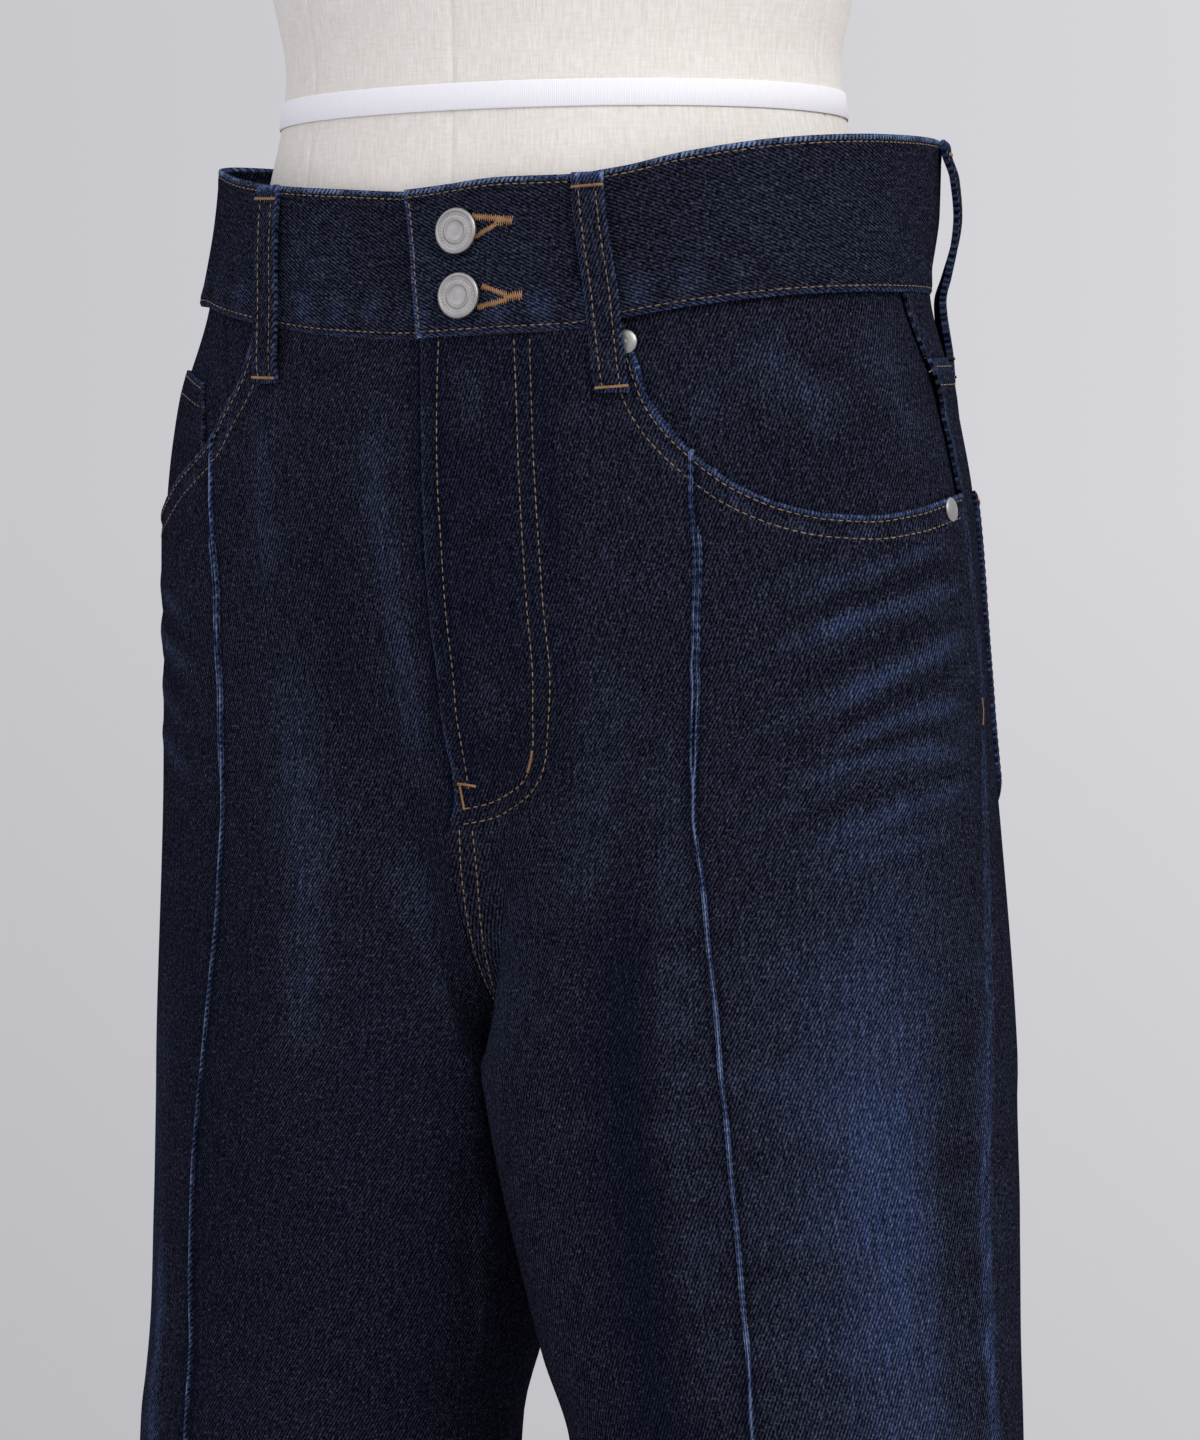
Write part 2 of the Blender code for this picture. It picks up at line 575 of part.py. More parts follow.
def formPoints(heights, count, lift=0.0):
    turn = np.linspace(0, 2 * math.pi, count, endpoint=False)
    rows = []
    for height in heights:
        level = np.full(count, float(height))
        reach = oval(turn, *(column(formRows, f, level) for f in ("halfWidth", "front", "back", "power"))) + lift
        rows.append(np.stack([reach * np.sin(turn), -reach * np.cos(turn), level], -1))
    return np.array(rows)


def makeForm():
    count = 40
    levels = sorted([row.height for row in formRows] + [1109.0, 1119.0])
    grid = formPoints(levels, count)
    points = list(grid.reshape(-1, 3))
    faces = []
    for r in range(len(levels) - 1):
        for k in range(count):
            n = (k + 1) % count
            faces.append((r * count + k, r * count + n, (r + 1) * count + n, (r + 1) * count + k))
    points.append(np.array([0, 15, levels[0]]))
    points.append(np.array([0, 0, levels[-1]]))
    last = (len(levels) - 1) * count
    for k in range(count):
        n = (k + 1) % count
        faces.append((len(points) - 2, n, k))
        faces.append((len(points) - 1, last + k, last + n))
    makeMesh("dress_form", points, faces, "linen")
    heights = (1109.0, 1119.0)
    makeWall("waist_tape", formPoints(heights, count, 1.0), formPoints(heights, count, 0.3), "tape", ring=True)
    spin("neck_cap", np.array([0, 0, 1560.3]), (0, 0, 1), [Ring(50, 0), Ring(53, 2), Ring(53, 8), Ring(48, 11)], 32, "stand")


def makeStand():
    spin("stand_base", np.zeros(3), (0, 0, 1), [Ring(192, 0), Ring(195, 2), Ring(195, 7), Ring(191, 10)], 40, "stand")
    foot = np.array([poleX, poleY, 10.3])
    spin("stand_pole", foot, (0, 0, 1), [Ring(poleRadius, 0), Ring(poleRadius, 789.4)], 24, "stand")
    turn = np.linspace(0, 2 * math.pi, 24, endpoint=False)
    ringOf = lambda radius, height: np.stack([poleX + radius * np.cos(turn), poleY + radius * np.sin(turn), np.full(24, height)], -1)
    outer = np.array([ringOf(27, 10.3), ringOf(27, 16), ringOf(19, 36)])
    inner = np.array([ringOf(poleRadius + 0.4, 10.3), ringOf(poleRadius + 0.4, 16), ringOf(poleRadius + 0.4, 36)])
    makeWall("stand_collar", outer, inner, "stand", ring=True)


for item in list(bpy.data.objects):
    bpy.data.objects.remove(item, do_unlink=True)

for side in (1, -1):
    makeFront(side)
    makeBack(side)
    makeYoke(side)
    makeBand(side)
    makeFacing(side)
    makeBackPocket(side)
makeCoinPocket()
makeFlyShield()
for row in loopRows:
    makeLoop(row)
for row in studs:
    makeStud(row, rivetRings, 12)
for row in buttons:
    makeStud(row, buttonRings, 20)
makeForm()
makeStand()
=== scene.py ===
import math
from collections import namedtuple

import bpy
import numpy as np
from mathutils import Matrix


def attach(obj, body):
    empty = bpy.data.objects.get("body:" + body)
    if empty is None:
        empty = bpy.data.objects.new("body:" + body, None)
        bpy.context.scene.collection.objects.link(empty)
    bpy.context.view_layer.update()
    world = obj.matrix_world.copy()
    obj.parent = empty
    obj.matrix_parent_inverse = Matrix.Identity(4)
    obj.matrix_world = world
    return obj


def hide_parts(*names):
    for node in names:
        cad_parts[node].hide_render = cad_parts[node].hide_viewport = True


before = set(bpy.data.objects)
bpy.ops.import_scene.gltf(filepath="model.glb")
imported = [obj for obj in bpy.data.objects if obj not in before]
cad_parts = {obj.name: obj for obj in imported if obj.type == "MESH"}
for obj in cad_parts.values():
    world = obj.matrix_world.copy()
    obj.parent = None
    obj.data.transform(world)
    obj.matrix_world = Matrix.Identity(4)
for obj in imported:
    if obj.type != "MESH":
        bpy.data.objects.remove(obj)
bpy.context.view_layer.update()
print("frame loaded:", len(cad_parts), "solids")


def table(fields, *rows):
    kind = namedtuple("Row", fields)
    return [kind(*row) for row in rows]


# Millimetres here, metres in the meshes. Heights are from the floor and the front faces -Y
# Side 1 is the wearer's left (+X), side -1 the right
cloth = {
    "wall": 1.4, "patchWall": 1.2, "seamGap": 0.3, "lap": 1.7, "forkHeight": 759.0,
    "frontCurveTop": 835.0, "backCurveTop": 890.0, "hemBottom": 45.0, "hemFold": 25.0,
    "upperStart": 945.0, "flyFoot": 852.0, "crossFoot": 893.0, "tuckSpot": 0.22, "sideSpot": 0.5,
    "backSpot": 0.75, "hemExtra": 1.3, "facingFoot": 930,
}
band = {
    "wall": 2.4, "lift": 0.6, "lap": 2.7, "rollFoot": 0.25, "rollTop": 0.3, "edgeRound": 0.7, "level": 1060.0,
    "ends": (0.0075, -0.0014, -0.014),
}

seats = table(
    "height halfWidth front back power twist shift",
    (1115, 138.5, 82, 127, 2.35, -9.5, 2), (1075, 141, 83, 120, 2.35, -8.5, .5),
    (1043, 145.5, 84.5, 104, 2.3, -7, -2.5), (1008, 157, 86.5, 106, 2.25, -5, -3.5),
    (968, 164, 88, 110, 2.25, -3.3, -2.5), (929, 166.5, 88, 114, 2.2, -1.5, -1.2),
    (893, 167, 86.5, 119, 2.2, 0, 0), (840, 167, 80, 127, 2.2, 0, 0), (760, 167, 72, 130, 2.2, 0, 0),
    (660, 167, 72, 130, 2.2, 0, 0),
)

# Each leg is an oval whose long axis is turned from the side towards the back
legs = table(
    "height out back longHalf shortHalf turn",
    (930, 77, 5.5, 102, 93, 42), (759, 77, 5.5, 102, 91, 42), (744, 79, 4.5, 100, 88.6, 43),
    (712, 85.5, .8, 97, 81.5, 45), (689, 89.5, 0, 94, 78.3, 45), (651, 95.3, 0, 89, 74.7, 44),
    (619, 101.5, 0, 84.8, 73, 50), (560, 104, 2, 83, 72, 42), (435, 104, 6, 86, 77, 30),
    (285, 108, 10, 91, 85, 18), (155, 111, 13, 96, 91, 10), (40, 114, 15, 100, 95, 0),
)

# A spot runs from 0 at the centre front or inseam, round the outside, to 1 at the back
spots = table(
    "spot seatAngle legAngle",
    (0, 0, -180), (.22, 54, -70.5), (.5, 99.5, 4), (1, 180, 180),
)

# The long soft folds of the legs, from the hips to the flare
folds = table(
    "side spot drift spread top bottom depth",
    (1, .187, -.031, .046, 860, 500, -4), (1, .115, -.05, .04, 800, 560, 1.6),
    (-1, .17, -.02, .045, 830, 520, -3.4), (-1, .3, .03, .06, 720, 430, 2.4),
    (1, .08, .01, .055, 560, 0, -5.5), (1, .165, 0, .04, 470, 0, 3.8), (1, .285, .02, .055, 600, 0, -5),
    (1, .385, .01, .05, 520, 0, 4.6), (1, .58, -.01, .06, 640, 0, -4.6), (1, .7, .01, .06, 500, 0, 5.2),
    (1, .84, 0, .07, 580, 0, -5.6), (-1, .065, 0, .05, 480, 0, 3.4), (-1, .15, -.01, .05, 600, 0, -4.8),
    (-1, .31, .02, .06, 540, 0, 4.4), (-1, .42, 0, .05, 620, 0, -5.2), (-1, .56, .01, .055, 460, 0, 4),
    (-1, .68, -.02, .06, 600, 0, -4.4), (-1, .8, 0, .06, 520, 0, 5), (-1, .92, 0, .05, 440, 0, -3.6),
)

bandLines = table(
    "angle leftFoot rightFoot leftTop rightTop",
    (-20, 1025, 1027, 1079, 1079.5), (0, 1025, 1025, 1080, 1079.5), (24, 1026, 1027.5, 1083.2, 1082),
    (40, 1027, 1032, 1083.6, 1085), (51, 1031, 1037, 1086, 1089), (62, 1035, 1042.5, 1091, 1094.5),
    (78, 1039.5, 1044, 1096.5, 1098.5), (95, 1042, 1044, 1099.5, 1100), (120, 1044, 1044.5, 1102, 1102),
    (200, 1046, 1046, 1105, 1105),
)
pocketLines = {
    1: table(
        "angle height",
        (49.9, 1030), (50.8, 1019), (52.6, 1001), (55, 990.5), (58, 981.8), (61.2, 973.8), (64.5, 968),
        (69.1, 962.5), (73.8, 959.7), (79, 959), (86, 961.5), (95, 966.5), (99.5, 968.5),
    ),
    -1: table(
        "angle height",
        (43.7, 1032), (46.4, 1015.5), (51, 1001.3), (54.6, 990.5), (59, 983.5), (63.4, 977.5), (66.2, 973),
        (70, 968), (75, 964), (80, 962), (86, 963), (95, 966.5), (99.5, 968.5),
    ),
}

# How far the pin tuck strays from its own spot, by height
tuckRows = table(
    "height left right",
    (990, .0285, 0), (964, .0188, .002), (948, .016, .003), (933, .0109, .005), (917, .0037, .0108),
    (902, -.002, .016), (868, -.0018, .0176), (850, -.0008, .0172), (828, .0054, .0165),
    (808, .0089, .0137), (781, .0126, .0098), (755, .0143, .0055), (728, .0114, .0028),
    (702, .0078, .0004), (675, .0035, -.0016), (648, -.0008, -.0065), (622, -.006, -.013), (540, 0, 0),
)
# The left front's edge over the fly, which wanders as it is worn
flyRows = table(
    "height spot",
    (845, 0), (851, .0055), (858, .009), (866, .0085), (876, .0035), (892, -.001), (921, -.003),
    (960, .0005), (991, .0055), (1030, .0085),
)
yokeLines = table(
    "angle height",
    (90, 1017), (99.5, 1018), (115, 1020), (140, 1004), (180, 972),
)

# Creases and fades are one table, as on worn denim: what stands proud is rubbed pale. A negative last value
# is painted shade: it darkens fold valleys and hollows past the dye's own colour
creases = table(
    "side spot height toSpot toHeight bow width lift wear",
    (1, .462, 950, .292, 926, 2, 3.2, .45, .26), (1, .476, 934, .298, 912, 3, 3.4, .6, .34),
    (1, .476, 916, .305, 883, 5, 3.5, .6, .36), (1, .47, 891, .315, 872, 5, 3.3, .5, .32),
    (1, .462, 871, .288, 859, 7, 3.4, .5, .32), (1, .472, 861, .305, 836, 4, 3.6, .4, .28),
    (1, .44, 844, .318, 830, 2, 3.2, .3, .2), (1, .488, 926, .415, 920, 1, 1.9, .25, .22),
    (1, .488, 903, .425, 899, 1, 1.8, .25, .22), (1, .486, 880, .42, 881, 1, 1.9, .2, .2),
    (1, .36, 944, .268, 930, 1, 2, .2, .16), (1, .38, 905, .262, 878, 2, 2.2, .2, .18),
    (1, .38, 928, .256, 902, 2, 2.4, .2, .16), (1, .345, 862, .262, 846, 1, 2.2, .2, .14),
    (1, .47, 942, .29, 919, 2, 2.6, -.45, -.16), (1, .478, 925, .3, 898, 4, 2.7, -.55, -.18),
    (1, .474, 904, .31, 877, 5, 2.6, -.5, -.16), (1, .466, 881, .3, 866, 6, 2.4, -.4, -.14),
    (1, .47, 866, .3, 847, 5, 2.4, -.35, -.12), (1, .4, 930, .38, 840, 0, 34, 0, .07),
    (1, .367, 838, .352, 380, 0, 42, 0, .42), (1, .385, 870, .36, 640, 0, 24, 0, .1),
    (1, .207, 880, .192, 640, 0, 9, 0, .2), (1, .186, 850, .15, 560, 0, 17, 0, -.34),
    (1, .138, 1030, .14, 930, 0, 9, 0, -.16), (1, .455, 800, .455, 500, 0, 16, 0, -.16),
    (1, .31, 760, .29, 500, 0, 12, 0, -.06), (1, .4, 1010, .3, 960, 0, 26, 0, -.05),
    (-1, .22, 860, .2, 500, 0, 55, 0, -.16), (-1, .06, 830, .06, 560, 0, 40, 0, -.12),
    (1, .104, 830, .03, 670, 0, 16, 0, .13), (1, .16, 910, .165, 800, 0, 12, .2, .14),
    (1, .308, 1026, .378, 990, -2, 10, .3, .22), (1, .25, 1001, .272, 996, 0, 7, .1, .16),
    (1, .42, 1030, .45, 985, 2, 9, .2, .14), (1, .06, 1018, .064, 985, 0, 7, .25, .22),
    (1, .045, 915, .06, 878, 0, 8, .2, .2), (1, .15, 1020, .15, 930, 0, 9, .5, .08),
    (1, .49, 800, .48, 560, 0, 5, .2, .2), (1, .44, 760, .43, 600, 0, 7, 0, -.14),
    (-1, .165, 1000, .175, 930, 0, 6, .5, .2), (-1, .05, 1005, .04, 860, 0, 6, .5, .22),
    (-1, .17, 910, .16, 740, 0, 12, .2, .24), (-1, .095, 840, .08, 770, 0, 9, .2, .2),
    (-1, .11, 970, .12, 880, 0, 9, -.4, -.12), (-1, .305, 700, .258, 560, 0, 5, .4, .4),
    (-1, .064, 715, .045, 640, 0, 4, .3, .26), (-1, .34, 1030, .36, 990, 0, 11, .3, .28),
    (-1, .48, 950, .27, 922, 4, 3.4, .5, .28), (-1, .475, 930, .262, 900, 5, 3.6, .6, .32),
    (-1, .472, 911, .28, 880, 4, 3.2, .5, .28), (-1, .468, 890, .275, 862, 4, 3.5, .5, .28),
    (-1, .48, 940, .275, 911, 4, 2.6, -.5, -.16), (-1, .472, 920, .275, 890, 4, 2.6, -.5, -.16),
    (-1, .345, 800, .335, 560, 0, 26, 0, .24), (-1, .25, 760, .245, 600, 0, 9, 0, .1),
    (1, .74, 930, .75, 830, 0, 34, 0, .24), (-1, .735, 925, .755, 835, 0, 32, 0, .22),
    (1, .95, 842, .7, 806, 5, 6, -.9, -.1), (1, .945, 824, .68, 782, 5, 6.5, .8, .22),
    (-1, .955, 838, .69, 800, 5, 6, -.9, -.1), (-1, .94, 818, .7, 779, 6, 7, .8, .22),
    (1, .93, 602, .61, 566, -6, 6.5, 1, .24), (1, .9, 574, .63, 556, -7, 5, -1, -.12),
    (1, .88, 548, .6, 524, -5, 7, .9, .22), (-1, .92, 596, .6, 572, -6, 6, 1, .24),
    (-1, .94, 572, .64, 549, -6, 5.5, -1, -.12), (-1, .87, 544, .59, 530, -4, 7, .9, .2),
    (1, .7, 520, .715, 300, 0, 20, 0, .2), (-1, .7, 520, .69, 300, 0, 20, 0, .2),
    (1, .35, 260, .385, 80, 0, 18, 0, .14), (-1, .31, 260, .33, 80, 0, 18, 0, .14),
)


def column(rows, field, height):
    order = sorted(rows, key=lambda row: row[0])
    x = np.array([row[0] for row in order], float)
    y = np.array([getattr(row, field) for row in order], float)
    height = np.clip(height, x[0], x[-1])
    i = np.clip(np.searchsorted(x, height) - 1, 0, len(x) - 2)
    step = x[i + 1] - x[i]
    s = (height - x[i]) / step
    rise = np.diff(y) / np.diff(x)
    slope = np.zeros(len(x))
    both = rise[:-1] * rise[1:]
    total = rise[:-1] + rise[1:]
    slope[1:-1] = np.where(both > 0, 2 * both / np.where(total == 0, 1, total), 0)
    slope[0], slope[-1] = rise[0], rise[-1]
    return (
        (2 * s**3 - 3 * s**2 + 1) * y[i] + (s**3 - 2 * s**2 + s) * step * slope[i]
        + (3 * s**2 - 2 * s**3) * y[i + 1] + (s**3 - s**2) * step * slope[i + 1]
    )


def sideName(side):
    return "left" if side > 0 else "right"


def ease(low, high, value):
    s = np.clip((value - low) / (high - low), 0, 1)
    return s * s * (3 - 2 * s)


def bump(distance, reach):
    return ease(0, 1, 1 - np.abs(distance) / reach)


def oval(angle, halfWidth, front, back, power):
    c, s = np.cos(angle), np.sin(angle)
    depth = np.where(c > 0, front, back)
    return (np.abs(c / depth) ** power + np.abs(s / halfWidth) ** power) ** (-1 / power)


def spotAngle(field, spot):
    x = [row.spot for row in spots]
    y = [getattr(row, field) for row in spots]
    angle = np.interp(spot, x, y)
    angle = np.where(spot < 0, y[0] + spot * (y[1] - y[0]) / x[1], angle)
    return np.where(spot > 1, y[-1] + (spot - 1) * (y[-1] - y[-2]) / (x[-1] - x[-2]), angle)


def angleOf(spot):
    return spotAngle("seatAngle", np.asarray(spot, float))


def seatSpot(angle):
    return np.interp(angle, [row.seatAngle for row in spots], [row.spot for row in spots])


def curveShare(top, height):
    s = np.clip((top - height) / (top - cloth["forkHeight"]), 0, 1)
    return 1 - np.sqrt(1 - s * s)


# The garment's own skin: a hip oval that parts into two leg ovals at the fork
def skin(side, spot, height):
    spot, height = np.broadcast_arrays(np.asarray(spot, float), np.asarray(height, float))
    crossed = (spot < 0) & (height > cloth["frontCurveTop"])
    side, spot = np.where(crossed, -side, side), np.where(crossed, -spot, spot)
    angle = side * np.radians(spotAngle("seatAngle", spot)) + np.radians(column(seats, "twist", height))
    reach = oval(angle, *(column(seats, f, height) for f in ("halfWidth", "front", "back", "power")))
    seatX = side * (reach * np.sin(angle) + column(seats, "shift", height))
    seatY = -reach * np.cos(angle)
    turn = np.radians(column(legs, "turn", height))
    angle = np.radians(spotAngle("legAngle", spot))
    c = np.cos(angle - turn) / column(legs, "longHalf", height)
    s = np.sin(angle - turn) / column(legs, "shortHalf", height)
    reach = (np.abs(c) ** 2.05 + np.abs(s) ** 2.05) ** (-1 / 2.05)
    legX = column(legs, "out", height) + reach * np.cos(angle)
    legY = column(legs, "back", height) + reach * np.sin(angle)
    away = ease(0, 45, cloth["forkHeight"] - 2 - height)
    clear, soft = 0.15 + 1.7 * away, 0.4 + 3.6 * away
    legX = (legX + clear + np.sqrt((legX - clear) ** 2 + soft**2)) / 2
    outer = ease(0, 1, (915 - height) / 190)
    share = curveShare(cloth["frontCurveTop"], height)
    share = share + (outer - share) * ease(0, 0.13, spot)
    back = curveShare(cloth["backCurveTop"], height)
    share = back + (share - back) * ease(0, 0.16, 1 - spot)
    x = seatX + (legX - seatX) * share
    y = seatY + (legY - seatY) * share
    x = np.where(height < cloth["crossFoot"], np.maximum(x, 0.0), x)
    return np.stack([side * x, y, height], -1)


def outward(side, spot, height):
    across = skin(side, spot + 0.003, height) - skin(side, spot - 0.003, height)
    up = skin(side, spot, height + 1.5) - skin(side, spot, height - 1.5)
    normal = side * np.cross(across, up)
    return normal / np.linalg.norm(normal, axis=-1, keepdims=True)


def place(side, spot, height, lift):
    spot, height = np.broadcast_arrays(np.asarray(spot, float), np.asarray(height, float))
    point = skin(side, spot, height) + outward(side, spot, height) * np.asarray(lift)[..., None]
    x = side * point[..., 0]
    low = (point[..., 2] < 890) & (np.abs(spot - 0.5) <= 0.5)
    point[..., 0] = side * np.where(low, np.maximum(x, 0.15), x)
    return point


def inset(side, spot, height, distance):
    step, slowest = 0.002, 60
    run = skin(side, spot + step, height) - skin(side, spot - step, height)
    return distance / np.maximum(np.linalg.norm(run, axis=-1) / (2 * step), slowest)


# The cloth laid out flat: millimetres round the body from the centre front, at each height
arcSpots = np.linspace(-0.06, 1.02, 271)
arcHeights = np.linspace(40, 1120, 91)


def arcTable(side):
    spot, height = np.meshgrid(arcSpots, arcHeights)
    steps = np.linalg.norm(np.diff(skin(side, spot, height), axis=1), axis=-1)
    arc = np.concatenate([np.zeros((len(arcHeights), 1)), np.cumsum(steps, axis=1)], axis=1)
    return arc - arc[:, [int(np.argmin(np.abs(arcSpots)))]]


arcs = {1: arcTable(1), -1: arcTable(-1)}


def across(side, spot, height):
    spot, height = np.broadcast_arrays(np.asarray(spot, float), np.asarray(height, float))
    row = np.clip((height - arcHeights[0]) / (arcHeights[1] - arcHeights[0]), 0, len(arcHeights) - 1.001)
    col = np.clip((spot - arcSpots[0]) / (arcSpots[1] - arcSpots[0]), 0, len(arcSpots) - 1.001)
    r, c = row.astype(int), col.astype(int)
    p, q = row - r, col - c
    arc = arcs[side]
    low = arc[r, c] * (1 - q) + arc[r, c + 1] * q
    high = arc[r + 1, c] * (1 - q) + arc[r + 1, c + 1] * q
    return low * (1 - p) + high * p


def spotAt(side, flat, height):
    found = []
    for u, h in zip(np.atleast_1d(flat), np.atleast_1d(height)):
        found.append(np.interp(u, across(side, arcSpots, np.full(len(arcSpots), h)), arcSpots))
    return np.array(found)


def foldLift(side, spot, height):
    lift = np.zeros(np.broadcast(spot, height).shape)
    for fold in folds:
        if fold.side != side:
            continue
        down = np.clip((fold.top - height) / (fold.top - max(fold.bottom, cloth["hemBottom"])), 0, 1)
        grow = ease(0, 1, down) if fold.bottom == 0 else np.sin(np.pi * down) ** 2
        lift += fold.depth * bump(spot - fold.spot - fold.drift * down, fold.spread) * grow
    return lift


# The height, the rubbed paleness and the painted shade that the crease table gives at a place
def creaseAt(side, spot, height):
    lift = np.zeros(np.broadcast(spot, height).shape)
    wear = lift.copy()
    for row in creases:
        if row.side != side:
            continue
        anchor = cloth["tuckSpot"] if row.spot < cloth["sideSpot"] else cloth["backSpot"]
        flatFrom = lambda s, h: across(side, s, h) - across(side, anchor, h)
        flat = flatFrom(spot, height)
        start = np.array([flatFrom(row.spot, row.height), row.height])
        run = np.array([flatFrom(row.toSpot, row.toHeight), row.toHeight]) - start
        length = np.linalg.norm(run)
        along = ((flat - start[0]) * run[0] + (height - start[1]) * run[1]) / length**2
        aside = ((flat - start[0]) * run[1] - (height - start[1]) * run[0]) / length
        aside = aside * np.sign(run[0] + 1e-9) + row.bow * 4 * np.clip(along * (1 - along), 0, 1)
        wobble = 0.16 * np.sin(along * length / 7.3 + row.height) + 0.1 * np.sin(along * length / 3.1)
        shape = np.exp(-((aside / (row.width * (1 + wobble))) ** 2))
        shape = shape * ease(-0.08, 0.25, along) * ease(-0.08, 0.25, 1 - along)
        lift, wear = lift + row.lift * shape, wear + row.wear * shape
    return lift, wear


def flyLift(side, spot, height):
    if side < 0:
        return np.zeros(np.broadcast(spot, height).shape)
    return cloth["lap"] * (1 - ease(0.092, 0.14, spot)) * ease(820, 837, height)


# The pin tuck is two ridges that close into one lower down
tuckShapes = table(
    "height apart half",
    (862, 0, .0021), (870, .0012, .0015), (950, .0019, .0015),
)
tuck = {"top": 994, "ridge": 1.5, "outerTop": 962}


def tuckAt(side, height):
    return cloth["tuckSpot"] + column(tuckRows, sideName(side), height)


def tuckShape(side, spot, height):
    apart, half = column(tuckShapes, "apart", height), column(tuckShapes, "half", height)
    centre = tuckAt(side, height) + 0.0003 * np.sin(height / 23.0) + 0.0003 * np.sin(height / 6.5 + side)
    inner = bump(spot - centre + apart, half) * ease(0, 6, tuck["top"] - height)
    outer = bump(spot - centre - apart, half) * ease(0, 12, tuck["outerTop"] - height)
    return np.maximum(inner, outer)


# Carries the columns near the tuck along with it
def followTuck(side, seams, height):
    shift = tuckAt(side, height) - cloth["tuckSpot"]
    ahead = np.interp(seams, [0.178, 0.2126, 0.2274, 0.30], [0, 1, 1, 0])
    behind = np.interp(seams, [0.1925, 0.2126, 0.2274, 0.26], [0, 1, 1, 0])
    return seams + shift * np.where(shift > 0, ahead, behind)


def seamRipple(along, distance, pitch, reach):
    wave = np.sin(2 * np.pi * along / pitch + 1.3 * np.sin(along / 31.0))
    return wave * np.exp(-((np.asarray(distance) / reach) ** 2))


def bandHeight(side, edge, angle):
    return column(bandLines, sideName(side) + edge, np.asarray(angle, float))


def pocketEdge(side):
    angle = np.linspace(pocketLines[side][0].angle, 99.5, 160)
    height = np.minimum(column(pocketLines[side], "height", angle), bandHeight(side, "Foot", angle))
    spot = seatSpot(angle)
    return np.stack([across(side, spot, height), height], -1)


pocketEdges = {1: pocketEdge(1), -1: pocketEdge(-1)}


def pocketTop(side, angle):
    foot = bandHeight(side, "Foot", angle) - cloth["seamGap"]
    line = np.where(angle < pocketLines[side][0].angle, foot, column(pocketLines[side], "height", angle))
    return np.minimum(line, foot)


def fromPocketEdge(side, spot, height):
    flat = across(side, spot, height)
    nearest = np.full(flat.shape, 1e6)
    for u, h in pocketEdges[side]:
        nearest = np.minimum(nearest, (flat - u) ** 2 + (height - h) ** 2)
    return np.sqrt(nearest)


def sideDistance(side, spot, height):
    return np.abs(across(side, cloth["sideSpot"], height) - across(side, spot, height))


def frontLook(side, spot, height):
    lift, wear = creaseAt(side, spot, height)
    ridge = tuckShape(side, spot, height)
    edge = fromPocketEdge(side, spot, height)
    seam = sideDistance(side, spot, height)
    flat = across(side, spot, height)
    hem = height - cloth["hemBottom"]
    lift += foldLift(side, spot, height) + flyLift(side, spot, height) + tuck["ridge"] * ridge
    lift += 0.45 * bump(edge - 1.4, 2.4) - 0.25 * bump(edge - 5.2, 2.2) - 0.5 * bump(edge, 0.9)
    lift += 0.22 * seamRipple(height, seam, 13, 7) + 0.2 * seamRipple(flat, hem - 24, 9, 7)
    wear += (0.92 + 0.13 * np.sin(height / 2.3) * np.sin(height / 5.1)) * ridge**1.1
    # Painted shade: the cloth beside the tuck's ridges is darkened, standing in for shade in the hollows
    # along it
    wear -= 0.3 * bump(spot - tuckAt(side, height), 0.010) * (1 - ridge) * ease(0, 20, 990 - height)
    wear += 0.72 * bump(edge - 0.8, 1.7) * (0.8 + 0.2 * np.sin(flat / 1.1) * np.sin(flat / 5.0))
    wear += 0.1 * bump(edge - 7, 5) * (1 + np.sin(flat / 3.7)) * (edge < 13)
    wear += bump(seam - 1, 3.5) * (0.34 + 0.2 * np.sin(height / 4.3) * np.sin(height / 17.0))
    wear += 0.55 * bump(hem, 3.5) + 0.2 * np.abs(seamRipple(flat, hem - 22, 9, 6))
    if side > 0:
        away = flat - across(side, column(flyRows, "spot", height), height)
        # The lapped fly edge's pale line is partly rubbed wear and partly a painted highlight; the darker
        # band 7.5 mm in from it and the darkening of the fly above 850 mm are painted shade
        fold = bump(away - 0.4, 2.2) * (height > 850)
        lift += (0.5 * bump(away - 2.2, 2.6) - 0.4 * bump(away, 0.8)) * (height > 850)
        wear += fold * (0.5 + 0.12 * np.sin(height / 6.0)) - 0.2 * bump(away - 7.5, 4.5) * (height > 850)
        wear = wear - 0.16 * bump(flat, 200) * ease(850, 870, height) * (spot < 0.14)
    else:
        away = flat + across(1, column(flyRows, "spot", height), height)
        away = np.where(height > flyRows[0].height, away, 99)
        # Painted shadow: a dark line on the right front just beside the lapped fly edge, where the left
        # front's edge casts shade
        wear = wear - 0.45 * bump(away - 0.6, 1.6) - 0.16 * bump(away - 3, 5)
        lift = lift - 0.7 * bump(away, 2.0)
    return lift, wear


def backLook(side, spot, height):
    lift, wear = creaseAt(side, spot, height)
    seam = sideDistance(side, spot, height)
    flat = across(side, spot, height)
    hem = height - cloth["hemBottom"]
    rise = np.abs(across(side, 1.0, height) - flat)
    lift += foldLift(side, spot, height) + 0.22 * seamRipple(height, seam, 13, 7)
    lift += 0.2 * seamRipple(flat, hem - 24, 9, 7)
    lift += 0.2 * seamRipple(height, rise - 6, 11, 6) * (height > 780)
    wear += bump(seam - 1.5, 3.5) * (0.3 + 0.2 * np.sin(height / 4.7) * np.sin(height / 15.0))
    wear += 0.55 * bump(hem, 3.5) + 0.2 * np.abs(seamRipple(flat, hem - 22, 9, 6))
    wear += 0.28 * bump(rise - 2, 4) * (height > 770)
    below = column(yokeLines, "height", angleOf(spot)) - height
    lift += 1.3 * ease(26, 8, below) - 0.4 * bump(below, 0.9)
    wear += 0.4 * bump(below - 0.8, 2) + 0.12 * np.abs(seamRipple(flat, below - 6, 11, 5))
    return lift, wear


